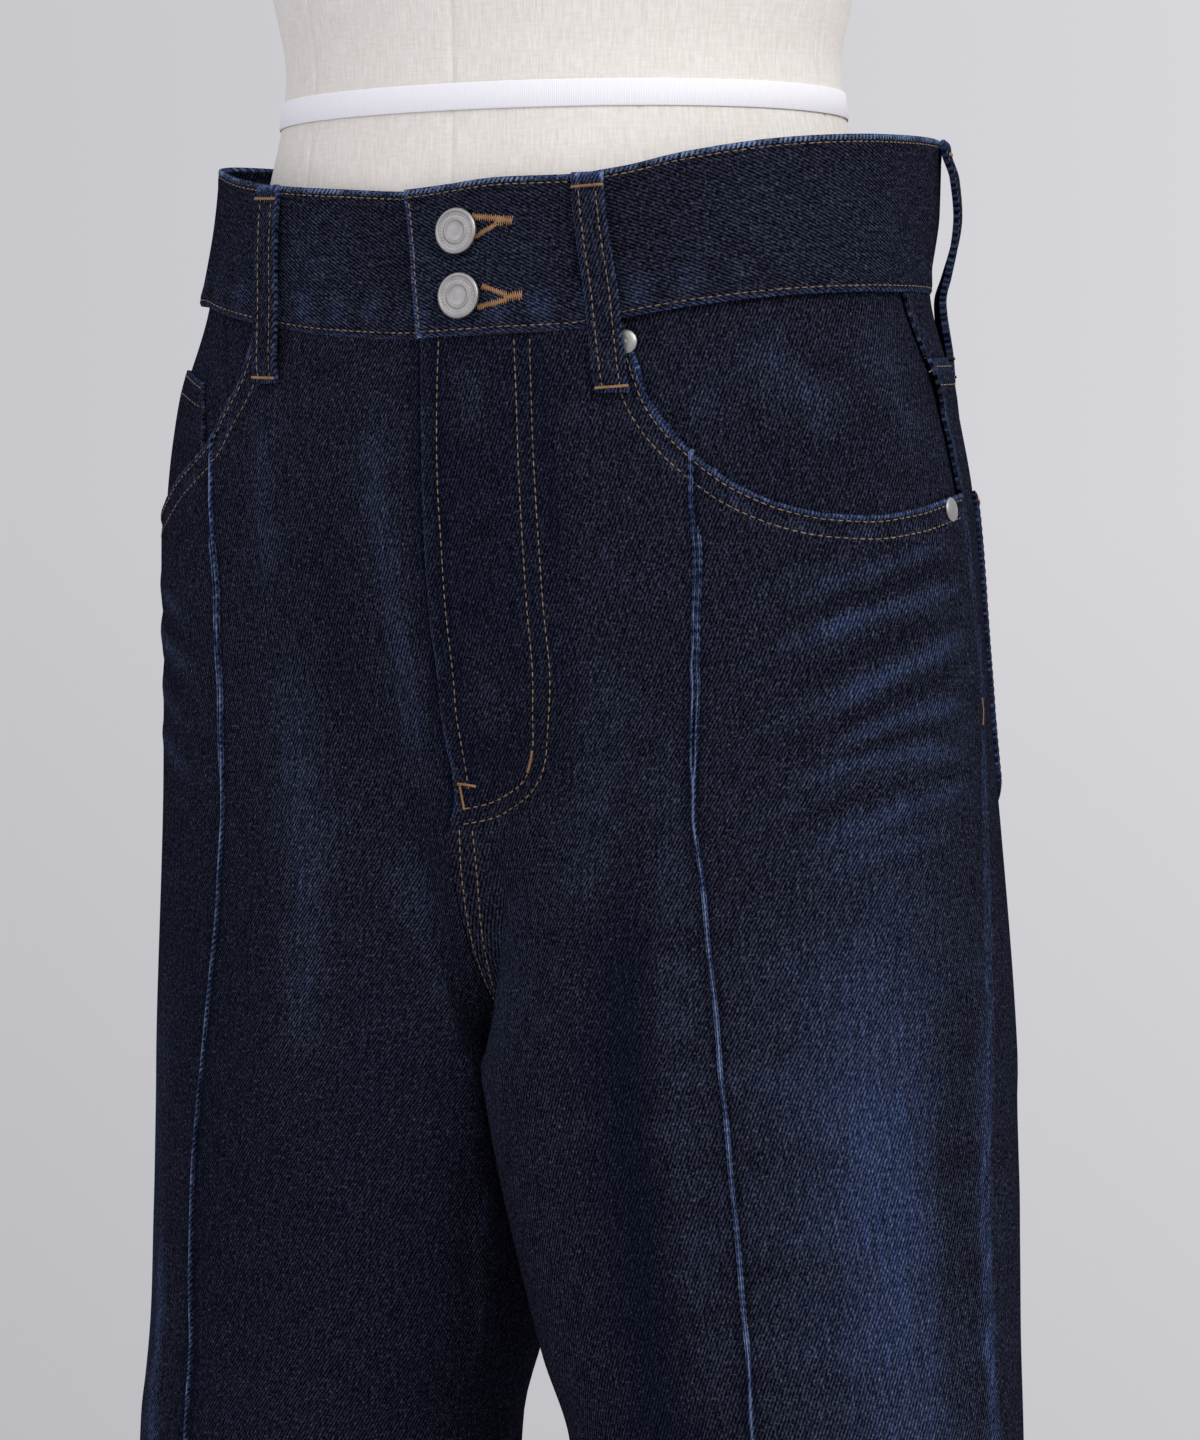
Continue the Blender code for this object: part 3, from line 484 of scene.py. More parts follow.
def yokeLook(side, spot, height):
    lift, wear = creaseAt(side, spot, height)
    foot = height - column(yokeLines, "height", angleOf(spot))
    flat = across(side, spot, height)
    lift += 0.2 * seamRipple(flat, foot, 11, 6)
    # Painted shade: a darker line along the groove of the yoke seam
    wear = wear - 0.2 * bump(foot, 2) + 0.12 * np.abs(seamRipple(flat, foot - 4, 11, 6))
    return lift, wear + 0.25 * bump(sideDistance(side, spot, height) - 1, 3)


def bandShare(side, spot, height):
    foot, top = bandHeight(side, "Foot", angleOf(spot)), bandHeight(side, "Top", angleOf(spot))
    return (height - foot) / (top - foot), height - foot, top - height


# The left band laps over the right and its end leans
def bandEnd(share):
    return np.interp(share, [0, 0.55, 1], band["ends"])


def bandLook(side, spot, height):
    share, low, high = bandShare(side, spot, height)
    flat = across(side, spot, band["level"])
    raised = band["lap"] * (1 - ease(0.10, 0.175, spot)) if side > 0 else 0
    lift = band["lift"] + raised + band["rollFoot"] * bump(low - 3.6, 5)
    lift += band["rollTop"] * bump(high - 3.2, 5)
    lift = lift - band["edgeRound"] * (bump(low, 1.2) + bump(high, 1.2))
    lift = lift - 0.16 * bump(high - 2.9, 0.9) - 0.16 * bump(low - 2.2, 0.9)
    lift += 0.3 * seamRipple(flat, low - 8, 17, 8) + 0.12 * seamRipple(flat, high - 8, 13, 7)
    wear = 0.8 * bump(high, 2.6) * (0.7 + 0.3 * np.sin(flat / 1.15)) + 0.45 * bump(low, 2.2)
    wear += 0.16 * (1 + seamRipple(flat, 0, 17, 8)) * bump(low - 9, 10) * (1 + np.sin(flat / 37.0)) / 2
    wear += 0.10 * bump(share - 0.5, 0.6) * (1 + np.sin(flat / 23.0 + side)) / 2
    if side > 0:
        wear += 0.45 * bump(across(side, spot, height) - across(side, bandEnd(share), height) - 0.5, 2.6)
    return lift, wear


def facingLook(side, spot, height):
    lift, wear = creaseAt(side, spot, height)
    depth = 2.6 if side > 0 else 3.35
    return np.minimum(lift, 0.5) - depth, wear


# The coin pocket's mouth slants, and its front edge leans back as it goes down
coin = {"wall": 1.1, "end": 0.435, "foot": 948, "rows": (2.2, 9.2)}
coinEdges = table(
    "height start",
    (948, .237), (989, .239), (1013, .2476),
)
coinMouth = table(
    "spot height",
    (.245, 1013), (.308, 1019.5), (.435, 1021),
)


def coinPlace(across01, up):
    spot = coinMouth[0].spot + (coin["end"] - coinMouth[0].spot) * across01
    height = coin["foot"] + up * (column(coinMouth, "height", spot) - coin["foot"])
    start = column(coinEdges, "start", height)
    return start + (coin["end"] - start) * across01, height


def coinLook(side, spot, height):
    lift, wear = creaseAt(side, spot, height)
    flat = across(side, spot, height)
    fromMouth = column(coinMouth, "height", spot) - height
    fromEdge = flat - across(side, column(coinEdges, "start", height), height)
    wear += 0.45 * bump(fromMouth, 2.5)
    wear += 0.45 * bump(fromEdge - 0.6, 1.6) * (0.6 + 0.4 * np.sin(height / 1.4))
    return np.minimum(lift, 0.5) - 1.75, wear


pocket = {
    "start": 0.542, "width": 0.335, "taper": 0.016, "top": 970, "slope": -20, "foot": 832, "point": 26,
    "stand": 0.5,
}


def backPocketShape(across01, down):
    topLine = pocket["top"] + pocket["slope"] * across01
    foot = pocket["foot"] + pocket["point"] * np.abs(2 * across01 - 1) ** 1.2 + 4 * (1 - across01)
    height = foot + (1 - down) * (topLine - foot)
    narrow = pocket["taper"] * down
    return pocket["start"] + narrow + across01 * (pocket["width"] - 2 * narrow), height


def backPocketLook(side, spot, height, across01, down):
    lift, wear = backLook(side, spot, height)
    edge = np.minimum(np.minimum(across01, 1 - across01) * 125, np.minimum(down * 115, (1 - down) * 115))
    lift += pocket["stand"] + cloth["patchWall"] + 0.25 * bump(edge - 3, 3) - 0.45 * bump(edge, 1.0)
    return lift, wear + 0.5 * bump(edge, 2.4) + 0.10 * bump(down - 0.5, 0.5) * bump(across01 - 0.5, 0.5)


def shieldLook(side, spot, height):
    shape = np.broadcast(spot, height).shape
    return np.full(shape, -0.1), np.zeros(shape)


# Materials
def hexColour(text):
    parts = [int(text[i:i + 2], 16) / 255 for i in (1, 3, 5)]
    return tuple(c / 12.92 if c <= 0.04045 else ((c + 0.055) / 1.055) ** 2.4 for c in parts) + (1.0,)


def addNode(material, kind, settings=None, links=None):
    node = material.node_tree.nodes.new("ShaderNode" + kind)
    for key, value in (settings or {}).items():
        if isinstance(key, int) or key in node.inputs:
            node.inputs[key].default_value = value
        else:
            setattr(node, key, value)
    for key, source in (links or {}).items():
        material.node_tree.links.new(source, node.inputs[key])
    return node


def newMaterial(name):
    material = bpy.data.materials.new(name)
    material.use_nodes = True
    material.node_tree.nodes.clear()
    return material


def finishMaterial(material, settings, links):
    shader = addNode(material, "BsdfPrincipled", settings, links)
    addNode(material, "OutputMaterial", links={"Surface": shader.outputs[0]})
    return material


# A wave of scale 1 repeats every 0.31416 m
wavePitch = 0.31416
# Right-hand twill rises to the right at 62 degrees. Its real rib is about 0.9 mm, drawn at 1.2 mm to show
denimLook = {
    "angle": 62, "rib": 0.0012, "yarn": 0.001, "fleck": 0.0011, "streak": 0.0026, "slub": 0.0014,
    "cloud": 0.05,
    # deep is the painted shade colour that negative attribute values darken the cloth towards
    "deep": "#050a1b", "dark": "#040409", "mid": "#43465b", "wornDark": "#1a2d5c", "wornLight": "#7d91bb",
    "pale": "#8796b2", "fleckColour": "#8c93a3",
}


def makeDenim():
    # Indigo cotton twill, warp dyed: matt near-black blue with pale weft flecks, rubbed to mid blue
    look = denimLook
    material = newMaterial("indigoTwillDenim")
    flat = addNode(material, "UVMap", {"uv_map": "cloth"}).outputs[0]
    turned = addNode(material, "Mapping", {"Rotation": (0, 0, math.radians(90 - look["angle"]))},
                     {"Vector": flat})
    twill = addNode(material, "TexWave", {
        "wave_profile": "SIN", "Scale": wavePitch / look["rib"],
        "Distortion": 1.8, "Detail": 2, "Detail Scale": 1.4,
    }, {"Vector": turned.outputs[0]})
    along = addNode(material, "Mapping", {"Scale": (1, 0.6, 1)}, {"Vector": flat})
    yarn = addNode(material, "TexNoise", {"Scale": 1 / look["yarn"], "Detail": 3, "Roughness": 0.7},
                   {"Vector": along.outputs[0]})
    speck = addNode(material, "TexNoise", {"Scale": 1 / look["fleck"], "Detail": 1, "Roughness": 0.5},
                    {"Vector": flat})
    long = addNode(material, "Mapping", {"Scale": (1, 0.09, 1)}, {"Vector": flat})
    streak = addNode(material, "TexNoise", {"Scale": 1 / look["streak"], "Detail": 4, "Roughness": 0.65},
                     {"Vector": long.outputs[0]})
    cloud = addNode(material, "TexNoise", {"Scale": 1 / look["cloud"], "Detail": 5, "Roughness": 0.62},
                    {"Vector": flat})
    # The attribute holds rubbed wear, painted shade where it is negative, and a painted highlight on the fly
    # edge
    wear = addNode(material, "Attribute", {"attribute_name": "wear"}).outputs["Fac"]
    tuft = addNode(material, "MapRange", {"From Min": 0.28, "From Max": 0.74, "To Max": 0.64},
                   {"Value": yarn.outputs["Fac"]})
    thick = addNode(material, "Mapping", {"Scale": (1, 0.14, 1)}, {"Vector": flat})
    slub = addNode(material, "TexNoise", {"Scale": 1 / look["slub"], "Detail": 2, "Roughness": 0.6},
                   {"Vector": thick.outputs[0]})
    weft = addNode(material, "MapRange", {"From Min": 0.3, "From Max": 0.7, "To Min": -0.1, "To Max": 0.1},
                   {"Value": slub.outputs["Fac"]})
    tufted = addNode(material, "Math", {"operation": "ADD"}, {0: tuft.outputs[0], 1: weft.outputs[0]})
    rib = addNode(material, "Math", {"operation": "MULTIPLY_ADD", "use_clamp": True, 1: 0.4},
                  {0: twill.outputs["Fac"], 2: tufted.outputs[0]})
    weave = addNode(material, "Math", {"operation": "POWER", "use_clamp": True, 1: 3.2}, {0: rib.outputs[0]})
    drift = addNode(material, "MapRange", {"From Min": 0.3, "From Max": 0.7, "To Min": -0.04, "To Max": 0.04},
                    {"Value": cloud.outputs["Fac"]})
    brush = addNode(material, "MapRange", {"From Min": 0.3, "From Max": 0.7, "To Min": 0.7, "To Max": 1.3},
                    {"Value": streak.outputs["Fac"]})
    faint = addNode(material, "MapRange", {"From Min": 0.42, "From Max": 0.72, "To Max": 0.07},
                    {"Value": streak.outputs["Fac"]})
    ground = addNode(material, "Math", {"operation": "ADD"}, {0: drift.outputs[0], 1: faint.outputs[0]})
    # Rubbed paleness, with the painted fly-edge highlight in it; the negative painted shade is clamped away
    # here
    wornAndLit = addNode(material, "Math", {"operation": "MULTIPLY_ADD", "use_clamp": True},
                   {0: wear, 1: brush.outputs[0], 2: ground.outputs[0]})
    # Painted shade: negative values blend the cloth up to 65 percent towards the deep colour
    unshaded = addNode(material, "MapRange", {"From Min": -0.4, "From Max": 0, "To Min": 0.35, "To Max": 1},
                      {"Value": wear})
    squared = addNode(material, "Math", {"operation": "POWER", 1: 2.1}, {0: wornAndLit.outputs[0]})
    low = addNode(material, "Mix", {
        "data_type": "RGBA", 6: hexColour(look["dark"]), 7: hexColour(look["wornDark"]),
    }, {0: squared.outputs[0]})
    high = addNode(material, "Mix", {
        "data_type": "RGBA", 6: hexColour(look["mid"]), 7: hexColour(look["wornLight"]),
    }, {0: wornAndLit.outputs[0]})
    colour = addNode(material, "Mix", {"data_type": "RGBA"},
                     {0: weave.outputs[0], 6: low.outputs[2], 7: high.outputs[2]})
    bare = addNode(material, "MapRange", {"From Min": 0.66, "From Max": 1.1, "To Max": 0.7},
                   {"Value": wornAndLit.outputs[0]})
    grained = addNode(material, "Math", {"operation": "MULTIPLY_ADD", "use_clamp": True, 1: 0.9, 2: 0.35},
                      {0: rib.outputs[0]})
    baring = addNode(material, "Math", {"operation": "MULTIPLY"}, {0: bare.outputs[0], 1: grained.outputs[0]})
    rubbed = addNode(material, "Mix", {"data_type": "RGBA", 7: hexColour(look["pale"])},
                     {0: baring.outputs[0], 6: colour.outputs[2]})
    fleck = addNode(material, "MapRange", {"From Min": 0.6, "From Max": 0.8, "To Max": 0.2},
                    {"Value": speck.outputs["Fac"]})
    flecked = addNode(material, "Mix", {"data_type": "RGBA", 7: hexColour(look["fleckColour"])},
                      {0: fleck.outputs[0], 6: rubbed.outputs[2]})
    final = addNode(material, "Mix", {"data_type": "RGBA", 6: hexColour(look["deep"])},
                    {0: unshaded.outputs[0], 7: flecked.outputs[2]})
    relief = addNode(material, "Bump", {"Strength": 0.5, "Distance": 0.0004}, {"Height": rib.outputs[0]})
    return finishMaterial(material, {"Roughness": 0.95, "Specular IOR Level": 0.0},
                          {"Base Color": final.outputs[2], "Normal": relief.outputs[0]})


def makeWornEdge():
    # The same twill on a folded edge, abraded: pale blue tops with dark dye left between, mottled at 1.4 mm
    material = newMaterial("abradedDenimEdge")
    where = addNode(material, "TexCoord").outputs["Object"]
    tone = addNode(material, "TexNoise", {"Scale": 700, "Detail": 3, "Roughness": 0.7}, {"Vector": where})
    patch = addNode(material, "TexNoise", {"Scale": 70, "Detail": 2}, {"Vector": where})
    both = addNode(material, "Math", {"operation": "ADD"}, {0: tone.outputs["Fac"], 1: patch.outputs["Fac"]})
    share = addNode(material, "MapRange", {"From Min": 0.78, "From Max": 1.25}, {"Value": both.outputs[0]})
    colour = addNode(material, "Mix", {"data_type": "RGBA", 6: hexColour("#0f152b"), 7: hexColour("#7186a8")},
                     {0: share.outputs[0]})
    relief = addNode(material, "Bump", {"Strength": 0.5, "Distance": 0.0002}, {"Height": tone.outputs["Fac"]})
    return finishMaterial(material, {"Roughness": 0.9, "Specular IOR Level": 0.06},
                          {"Base Color": colour.outputs[2], "Normal": relief.outputs[0]})


def makeThread(name, pale, deep):
    # Corded polyester-cotton topstitch thread: a soft lustre and a fine twist, drawn at 0.5 mm
    material = newMaterial(name)
    where = addNode(material, "TexCoord").outputs["Object"]
    tone = addNode(material, "TexNoise", {"Scale": 160, "Detail": 3, "Roughness": 0.7}, {"Vector": where})
    spun = addNode(material, "TexNoise", {"Scale": 2000, "Detail": 1}, {"Vector": where})
    share = addNode(material, "MapRange", {"From Min": 0.3, "From Max": 0.7}, {"Value": tone.outputs["Fac"]})
    colour = addNode(material, "Mix", {"data_type": "RGBA", 6: hexColour(deep), 7: hexColour(pale)},
                     {0: share.outputs[0]})
    relief = addNode(material, "Bump", {"Strength": 0.5, "Distance": 0.0002}, {"Height": spun.outputs["Fac"]})
    return finishMaterial(material, {"Roughness": 0.6, "Specular IOR Level": 0.3},
                          {"Base Color": colour.outputs[2], "Normal": relief.outputs[0]})


def makeNickel():
    # Antique nickel plate, tumbled: grey, half matt, with fine scuffs that break the highlight
    material = newMaterial("tumbledNickel")
    where = addNode(material, "TexCoord").outputs["Object"]
    scuff = addNode(material, "TexNoise", {"Scale": 900, "Detail": 4, "Roughness": 0.7}, {"Vector": where})
    tone = addNode(material, "TexNoise", {"Scale": 220, "Detail": 2}, {"Vector": where})
    matt = addNode(material, "MapRange", {"To Min": 0.34, "To Max": 0.56}, {"Value": scuff.outputs["Fac"]})
    colour = addNode(material, "Mix", {"data_type": "RGBA", 6: hexColour("#8f8d8b"), 7: hexColour("#b9b7b4")},
                     {0: tone.outputs["Fac"]})
    relief = addNode(material, "Bump", {"Strength": 0.2, "Distance": 0.0001},
                     {"Height": scuff.outputs["Fac"]})
    return finishMaterial(material, {"Metallic": 1.0}, {
        "Base Color": colour.outputs[2], "Roughness": matt.outputs[0], "Normal": relief.outputs[0],
    })


def makeLinen():
    # Plain-woven bleached linen: warm white, dull, with slubs along both thread ways, drawn at 1.1 mm
    material = newMaterial("bleachedLinen")
    flat = addNode(material, "UVMap", {"uv_map": "cloth"}).outputs[0]
    weft = addNode(material, "Mapping", {"Scale": (0.12, 1, 1)}, {"Vector": flat})
    warp = addNode(material, "Mapping", {"Scale": (1, 0.12, 1), "Location": (0.3, 0.7, 0)}, {"Vector": flat})
    slubA = addNode(material, "TexNoise", {"Scale": 900, "Detail": 3, "Roughness": 0.7},
                    {"Vector": weft.outputs[0]})
    slubB = addNode(material, "TexNoise", {"Scale": 900, "Detail": 3, "Roughness": 0.7},
                    {"Vector": warp.outputs[0]})
    weave = addNode(material, "Math", {"operation": "MULTIPLY_ADD", 1: 0.5},
                    {0: slubA.outputs["Fac"], 2: slubB.outputs["Fac"]})
    cloud = addNode(material, "TexNoise", {"Scale": 9, "Detail": 3}, {"Vector": flat})
    share = addNode(material, "MapRange", {"From Min": 0.5, "From Max": 0.95}, {"Value": weave.outputs[0]})
    thread = addNode(material, "Mix", {"data_type": "RGBA", 6: hexColour("#dcd5cb"), 7: hexColour("#f1eee8")},
                     {0: share.outputs[0]})
    mild = addNode(material, "MapRange", {"From Min": 0.3, "From Max": 0.7, "To Min": 0.0, "To Max": 0.22},
                   {"Value": cloud.outputs["Fac"]})
    aged = addNode(material, "Mix", {"data_type": "RGBA", 7: hexColour("#cfc6b9")},
                   {0: mild.outputs[0], 6: thread.outputs[2]})
    relief = addNode(material, "Bump", {"Strength": 0.35, "Distance": 0.0003}, {"Height": weave.outputs[0]})
    return finishMaterial(material, {"Roughness": 0.95, "Specular IOR Level": 0.2, "Sheen Weight": 0.05},
                          {"Base Color": aged.outputs[2], "Normal": relief.outputs[0]})


def makeTape():
    # Woven cotton tape: cool white with a fine crosswise rib, 1 mm apart
    material = newMaterial("wovenCottonTape")
    flat = addNode(material, "UVMap", {"uv_map": "cloth"}).outputs[0]
    rib = addNode(material, "TexWave", {"Scale": wavePitch / 0.001, "Distortion": 0.6}, {"Vector": flat})
    tone = addNode(material, "TexNoise", {"Scale": 300, "Detail": 2}, {"Vector": flat})
    mixed = addNode(material, "Math", {"operation": "MULTIPLY"},
                    {0: rib.outputs["Fac"], 1: tone.outputs["Fac"]})
    colour = addNode(material, "Mix", {"data_type": "RGBA", 6: hexColour("#efedf1"), 7: hexColour("#fbfbfc")},
                     {0: mixed.outputs[0]})
    relief = addNode(material, "Bump", {"Strength": 0.4, "Distance": 0.0002}, {"Height": rib.outputs["Fac"]})
    return finishMaterial(material, {"Roughness": 0.9, "Specular IOR Level": 0.25},
                          {"Base Color": colour.outputs[2], "Normal": relief.outputs[0]})


def makePowderCoat():
    # Powder-coated steel: light grey with a faint orange-peel grain of about 2 mm
    material = newMaterial("powderCoatedSteel")
    where = addNode(material, "TexCoord").outputs["Object"]
    peel = addNode(material, "TexNoise", {"Scale": 500, "Detail": 2}, {"Vector": where})
    tone = addNode(material, "TexNoise", {"Scale": 14, "Detail": 3}, {"Vector": where})
    colour = addNode(material, "Mix", {"data_type": "RGBA", 6: hexColour("#8f9093"), 7: hexColour("#9b9c9f")},
                     {0: tone.outputs["Fac"]})
    relief = addNode(material, "Bump", {"Strength": 0.25, "Distance": 0.0003},
                     {"Height": peel.outputs["Fac"]})
    return finishMaterial(material, {"Roughness": 0.42},
                          {"Base Color": colour.outputs[2], "Normal": relief.outputs[0]})


def makeFloor():
    # Matt painted studio floor: even pale grey with a very soft mottle
    material = newMaterial("paintedStudioFloor")
    where = addNode(material, "TexCoord").outputs["Object"]
    tone = addNode(material, "TexNoise", {"Scale": 3, "Detail": 4}, {"Vector": where})
    colour = addNode(material, "Mix", {"data_type": "RGBA", 6: hexColour("#cbcacd"), 7: hexColour("#d3d2d6")},
                     {0: tone.outputs["Fac"]})
    return finishMaterial(material, {"Roughness": 0.8}, {"Base Color": colour.outputs[2]})


denim, nickel, linen, tape, coat = makeDenim(), makeNickel(), makeLinen(), makeTape(), makePowderCoat()
wornEdge = makeWornEdge()
goldThread = makeThread("goldTopstitchThread", "#967f5f", "#604c34")
rustThread = makeThread("rustBartackThread", "#a47c56", "#7a5637")
print("materials made")


# Meshes
def pick(piece):
    bpy.ops.object.select_all(action="DESELECT")
    piece.select_set(True)
    bpy.context.view_layer.objects.active = piece


def smooth(piece, degrees):
    pick(piece)
    bpy.ops.object.shade_smooth_by_angle(angle=math.radians(degrees))


def dress(piece, material, node=None):
    piece.data.materials.clear()
    piece.data.materials.append(material)
    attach(piece, "root")
    if node:
        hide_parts(node)


def readPoints(mesh):
    points = np.empty(len(mesh.vertices) * 3)
    mesh.vertices.foreach_get("co", points)
    return points.reshape(-1, 3)


def startGrid(name, points, flat):
    rows, columns = points.shape[:2]
    bpy.ops.object.select_all(action="DESELECT")
    bpy.ops.mesh.primitive_grid_add(x_subdivisions=columns - 1, y_subdivisions=rows - 1, size=1)
    piece = bpy.context.object
    mesh = piece.data
    piece.name = mesh.name = name
    start = readPoints(mesh) + 0.5
    c = np.rint(start[:, 0] * (columns - 1)).astype(int)
    r = np.rint(start[:, 1] * (rows - 1)).astype(int)
    mesh.vertices.foreach_set("co", (points[r, c] / 1000).ravel())
    while mesh.uv_layers:
        mesh.uv_layers.remove(mesh.uv_layers[0])
    layer = mesh.uv_layers.new(name="cloth")
    corner = np.empty(len(mesh.loops), int)
    mesh.loops.foreach_get("vertex_index", corner)
    layer.data.foreach_set("uv", (flat[r, c][corner] / 1000).ravel())
    return piece, r, c


# A cloth wall from grids of outer points, flat places and wear with painted light and shade, all of rows by
# columns and in millimetres
def makeCloth(name, node, side, points, flat, wear, thickness):
    wall = np.broadcast_to(thickness, points.shape[:2])
    if side < 0:
        points, flat, wear, wall = (grid[:, ::-1] for grid in (points, flat, wear, wall))
    piece, r, c = startGrid("denim_" + name, points, flat)
    piece.data.attributes.new("wear", "FLOAT", "POINT").data.foreach_set("value", wear[r, c])
    group = piece.vertex_groups.new(name="wall")
    for level in np.unique(wall):
        group.add([int(i) for i in np.nonzero(wall[r, c] == level)[0]], float(level / wall.max()), "REPLACE")
    pick(piece)
    modifier = piece.modifiers.new("wall", "SOLIDIFY")
    modifier.thickness, modifier.offset, modifier.vertex_group = float(wall.max()) / 1000, -1, "wall"
    bpy.ops.object.modifier_apply(modifier=modifier.name)
    smooth(piece, 40)
    width = float(np.linalg.norm(np.diff(points, axis=1), axis=-1).sum(1).max()) / 1000
    length = float(np.linalg.norm(np.diff(points, axis=0), axis=-1).sum(0).max()) / 1000
    acrossEdges = (points[:-1, 1:] - points[:-1, :-1] + points[1:, 1:] - points[1:, :-1]) / 2
    upEdges = (points[1:, :-1] - points[:-1, :-1] + points[1:, 1:] - points[:-1, 1:]) / 2
    area = np.linalg.norm(np.cross(acrossEdges, upEdges), axis=-1).sum() / 1e6
    dress(piece, denim, node)
    area = float(np.clip(area, 0.3 * width * length, width * length))


def makePanel(name, side, spot, height, look, thickness, anchor=cloth["tuckSpot"], node=None):
    lift, wear = look(side, spot, height)
    flat = np.stack([side * (across(side, spot, height) - across(side, anchor, height)), height], -1)
    makeCloth(name, node or name, side, place(side, spot, height, lift), flat, wear, thickness)


def panelHeights(topLine, low, shares):
    levels = [np.full(len(topLine), level, float) for level in low]
    return np.array(levels + list(between(cloth["upperStart"], topLine, shares)))


def between(foot, top, shares):
    return np.array([foot + share * (top - foot) for share in shares])


def spread(*stops):
    parts = [np.linspace(a, b, n, endpoint=False) for a, b, n in stops]
    return np.concatenate(parts + [[stops[-1][1]]])


# Half the seam gap, as a spot, at a grid's first or last column
def halfGap(side, spot, height, i):
    return inset(side, spot[:, i], height[:, i], cloth["seamGap"] / 2)


def hemWall(height):
    return cloth["wall"] + cloth["hemExtra"] * (height < cloth["hemBottom"] + cloth["hemFold"])


def makeFront(side):
    seams = spread(
        (0, 0.02, 8), (0.02, 0.178, 42), (0.178, 0.2126, 22), (0.2126, 0.2274, 28), (0.2274, 0.26, 12),
        (0.26, 0.5, 54),
    )
    low = np.concatenate([np.linspace(45, 70, 9), np.linspace(80, 600, 53), np.linspace(603, 945, 132)])
    shares = np.concatenate([np.linspace(0.02, 0.93, 34), np.linspace(0.945, 1, 8)])
    top = pocketTop(side, angleOf(seams))
    for _ in range(6):
        top = (top + pocketTop(side, angleOf(followTuck(side, seams, top)))) / 2
    height = panelHeights(top, low, shares)
    spot = followTuck(side, np.broadcast_to(seams, height.shape), height)
    first, edge = halfGap(side, spot, height, 0), height[:, 0]
    if side < 0:
        first = first + (-0.014 - first) * ease(840, 852, edge)
    else:
        first = first * (1 - ease(835, 845, edge)) + column(flyRows, "spot", edge)
    last = halfGap(side, spot, height, -1)
    spot = spot + first[:, None] * np.clip(1 - seams / 0.05, 0, 1)
    spot = spot - last[:, None] * np.clip((seams - 0.49) / 0.01, 0, 1)
    makePanel("front_" + sideName(side), side, spot, height, frontLook, hemWall(height))


def makeBack(side):
    seams = spread((0.5, 0.52, 8), (0.52, 0.98, 88), (0.98, 1.0, 8))
    low = np.concatenate([np.linspace(45, 70, 7), np.linspace(82, 945, 118)])
    top = column(yokeLines, "height", angleOf(seams)) - cloth["seamGap"] / 2
    height = panelHeights(top, low, np.linspace(0.1, 1, 10))
    spot = np.broadcast_to(seams, height.shape)
    spot = spot + halfGap(side, spot, height, 0)[:, None] * np.clip(1 - (seams - 0.5) / 0.01, 0, 1)
    spot = spot - halfGap(side, spot, height, -1)[:, None] * np.clip((seams - 0.99) / 0.01, 0, 1)
    makePanel("back_" + sideName(side), side, spot, height, backLook, hemWall(height), cloth["backSpot"])


def makeYoke(side):
    seams = np.linspace(0.5, 1.0, 90)
    foot = column(yokeLines, "height", angleOf(seams)) + cloth["seamGap"] / 2
    height = between(foot, bandHeight(side, "Foot", angleOf(seams)) - cloth["seamGap"], np.linspace(0, 1, 26))
    spot = np.broadcast_to(seams, height.shape).copy()
    spot[:, 0] += halfGap(side, spot, height, 0)
    spot[:, -1] -= halfGap(side, spot, height, -1)
    makePanel("yoke_" + sideName(side), side, spot, height, yokeLook, cloth["wall"], cloth["backSpot"])


def makeBand(side):
    seams = spread((0.0 if side > 0 else -0.05, 0.01, 8), (0.01, 1.0, 260))
    foot, top = (bandHeight(side, edge, angleOf(seams)) for edge in ("Foot", "Top"))
    shares = spread((0, 0.09, 8), (0.09, 0.91, 14), (0.91, 1, 10))
    height = between(foot, top, shares)
    spot = np.broadcast_to(seams, height.shape).copy()
    spot[:, -1] -= halfGap(side, spot, height, -1)
    if side > 0:
        spot = spot + bandEnd(shares)[:, None] * np.clip(1 - seams / 0.05, 0, 1)
    lift, wear = bandLook(side, spot, height)
    flat = np.stack([height - foot, -side * across(side, spot, band["level"])], -1)
    makeCloth("band_" + sideName(side), "waistband_" + sideName(side), side, place(side, spot, height, lift),
              flat, wear, band["wall"])


def makeFacing(side):
    seams = np.linspace(0.178 if side > 0 else 0.16, 0.508, 90)
    height = between(cloth["facingFoot"], bandHeight(side, "Foot", angleOf(seams)) + 5, np.linspace(0, 1, 40))
    spot = np.broadcast_to(seams, height.shape)
    makePanel("facing_" + sideName(side), side, spot, height, facingLook, cloth["patchWall"],
              node="pocket_facing_" + sideName(side))


def makeCoinPocket():
    spot, height = coinPlace(*np.meshgrid(spread((0, 0.06, 8), (0.06, 1, 44)), np.linspace(0, 1, 34)))
    makePanel("coin_pocket", -1, spot, height, coinLook, coin["wall"])


def makeBackPocket(side):
    share = spread((0, 0.06, 6), (0.06, 0.94, 44), (0.94, 1, 6))
    down = spread((0, 0.06, 6), (0.06, 0.94, 40), (0.94, 1, 6))[::-1]
    parts = np.meshgrid(share, down)
    makePanel("back_pocket_" + sideName(side), side, *backPocketShape(*parts),
              lambda *where: backPocketLook(*where, *parts), cloth["patchWall"], cloth["backSpot"])


def makeFlyShield():
    seams = np.linspace(0.0168, 0.088, 16)
    top = bandHeight(1, "Foot", angleOf(seams)) - cloth["seamGap"]
    height = between(cloth["flyFoot"], top, np.linspace(0, 1, 60))
    makePanel("fly_shield", 1, np.broadcast_to(seams, height.shape), height, shieldLook, cloth["patchWall"])


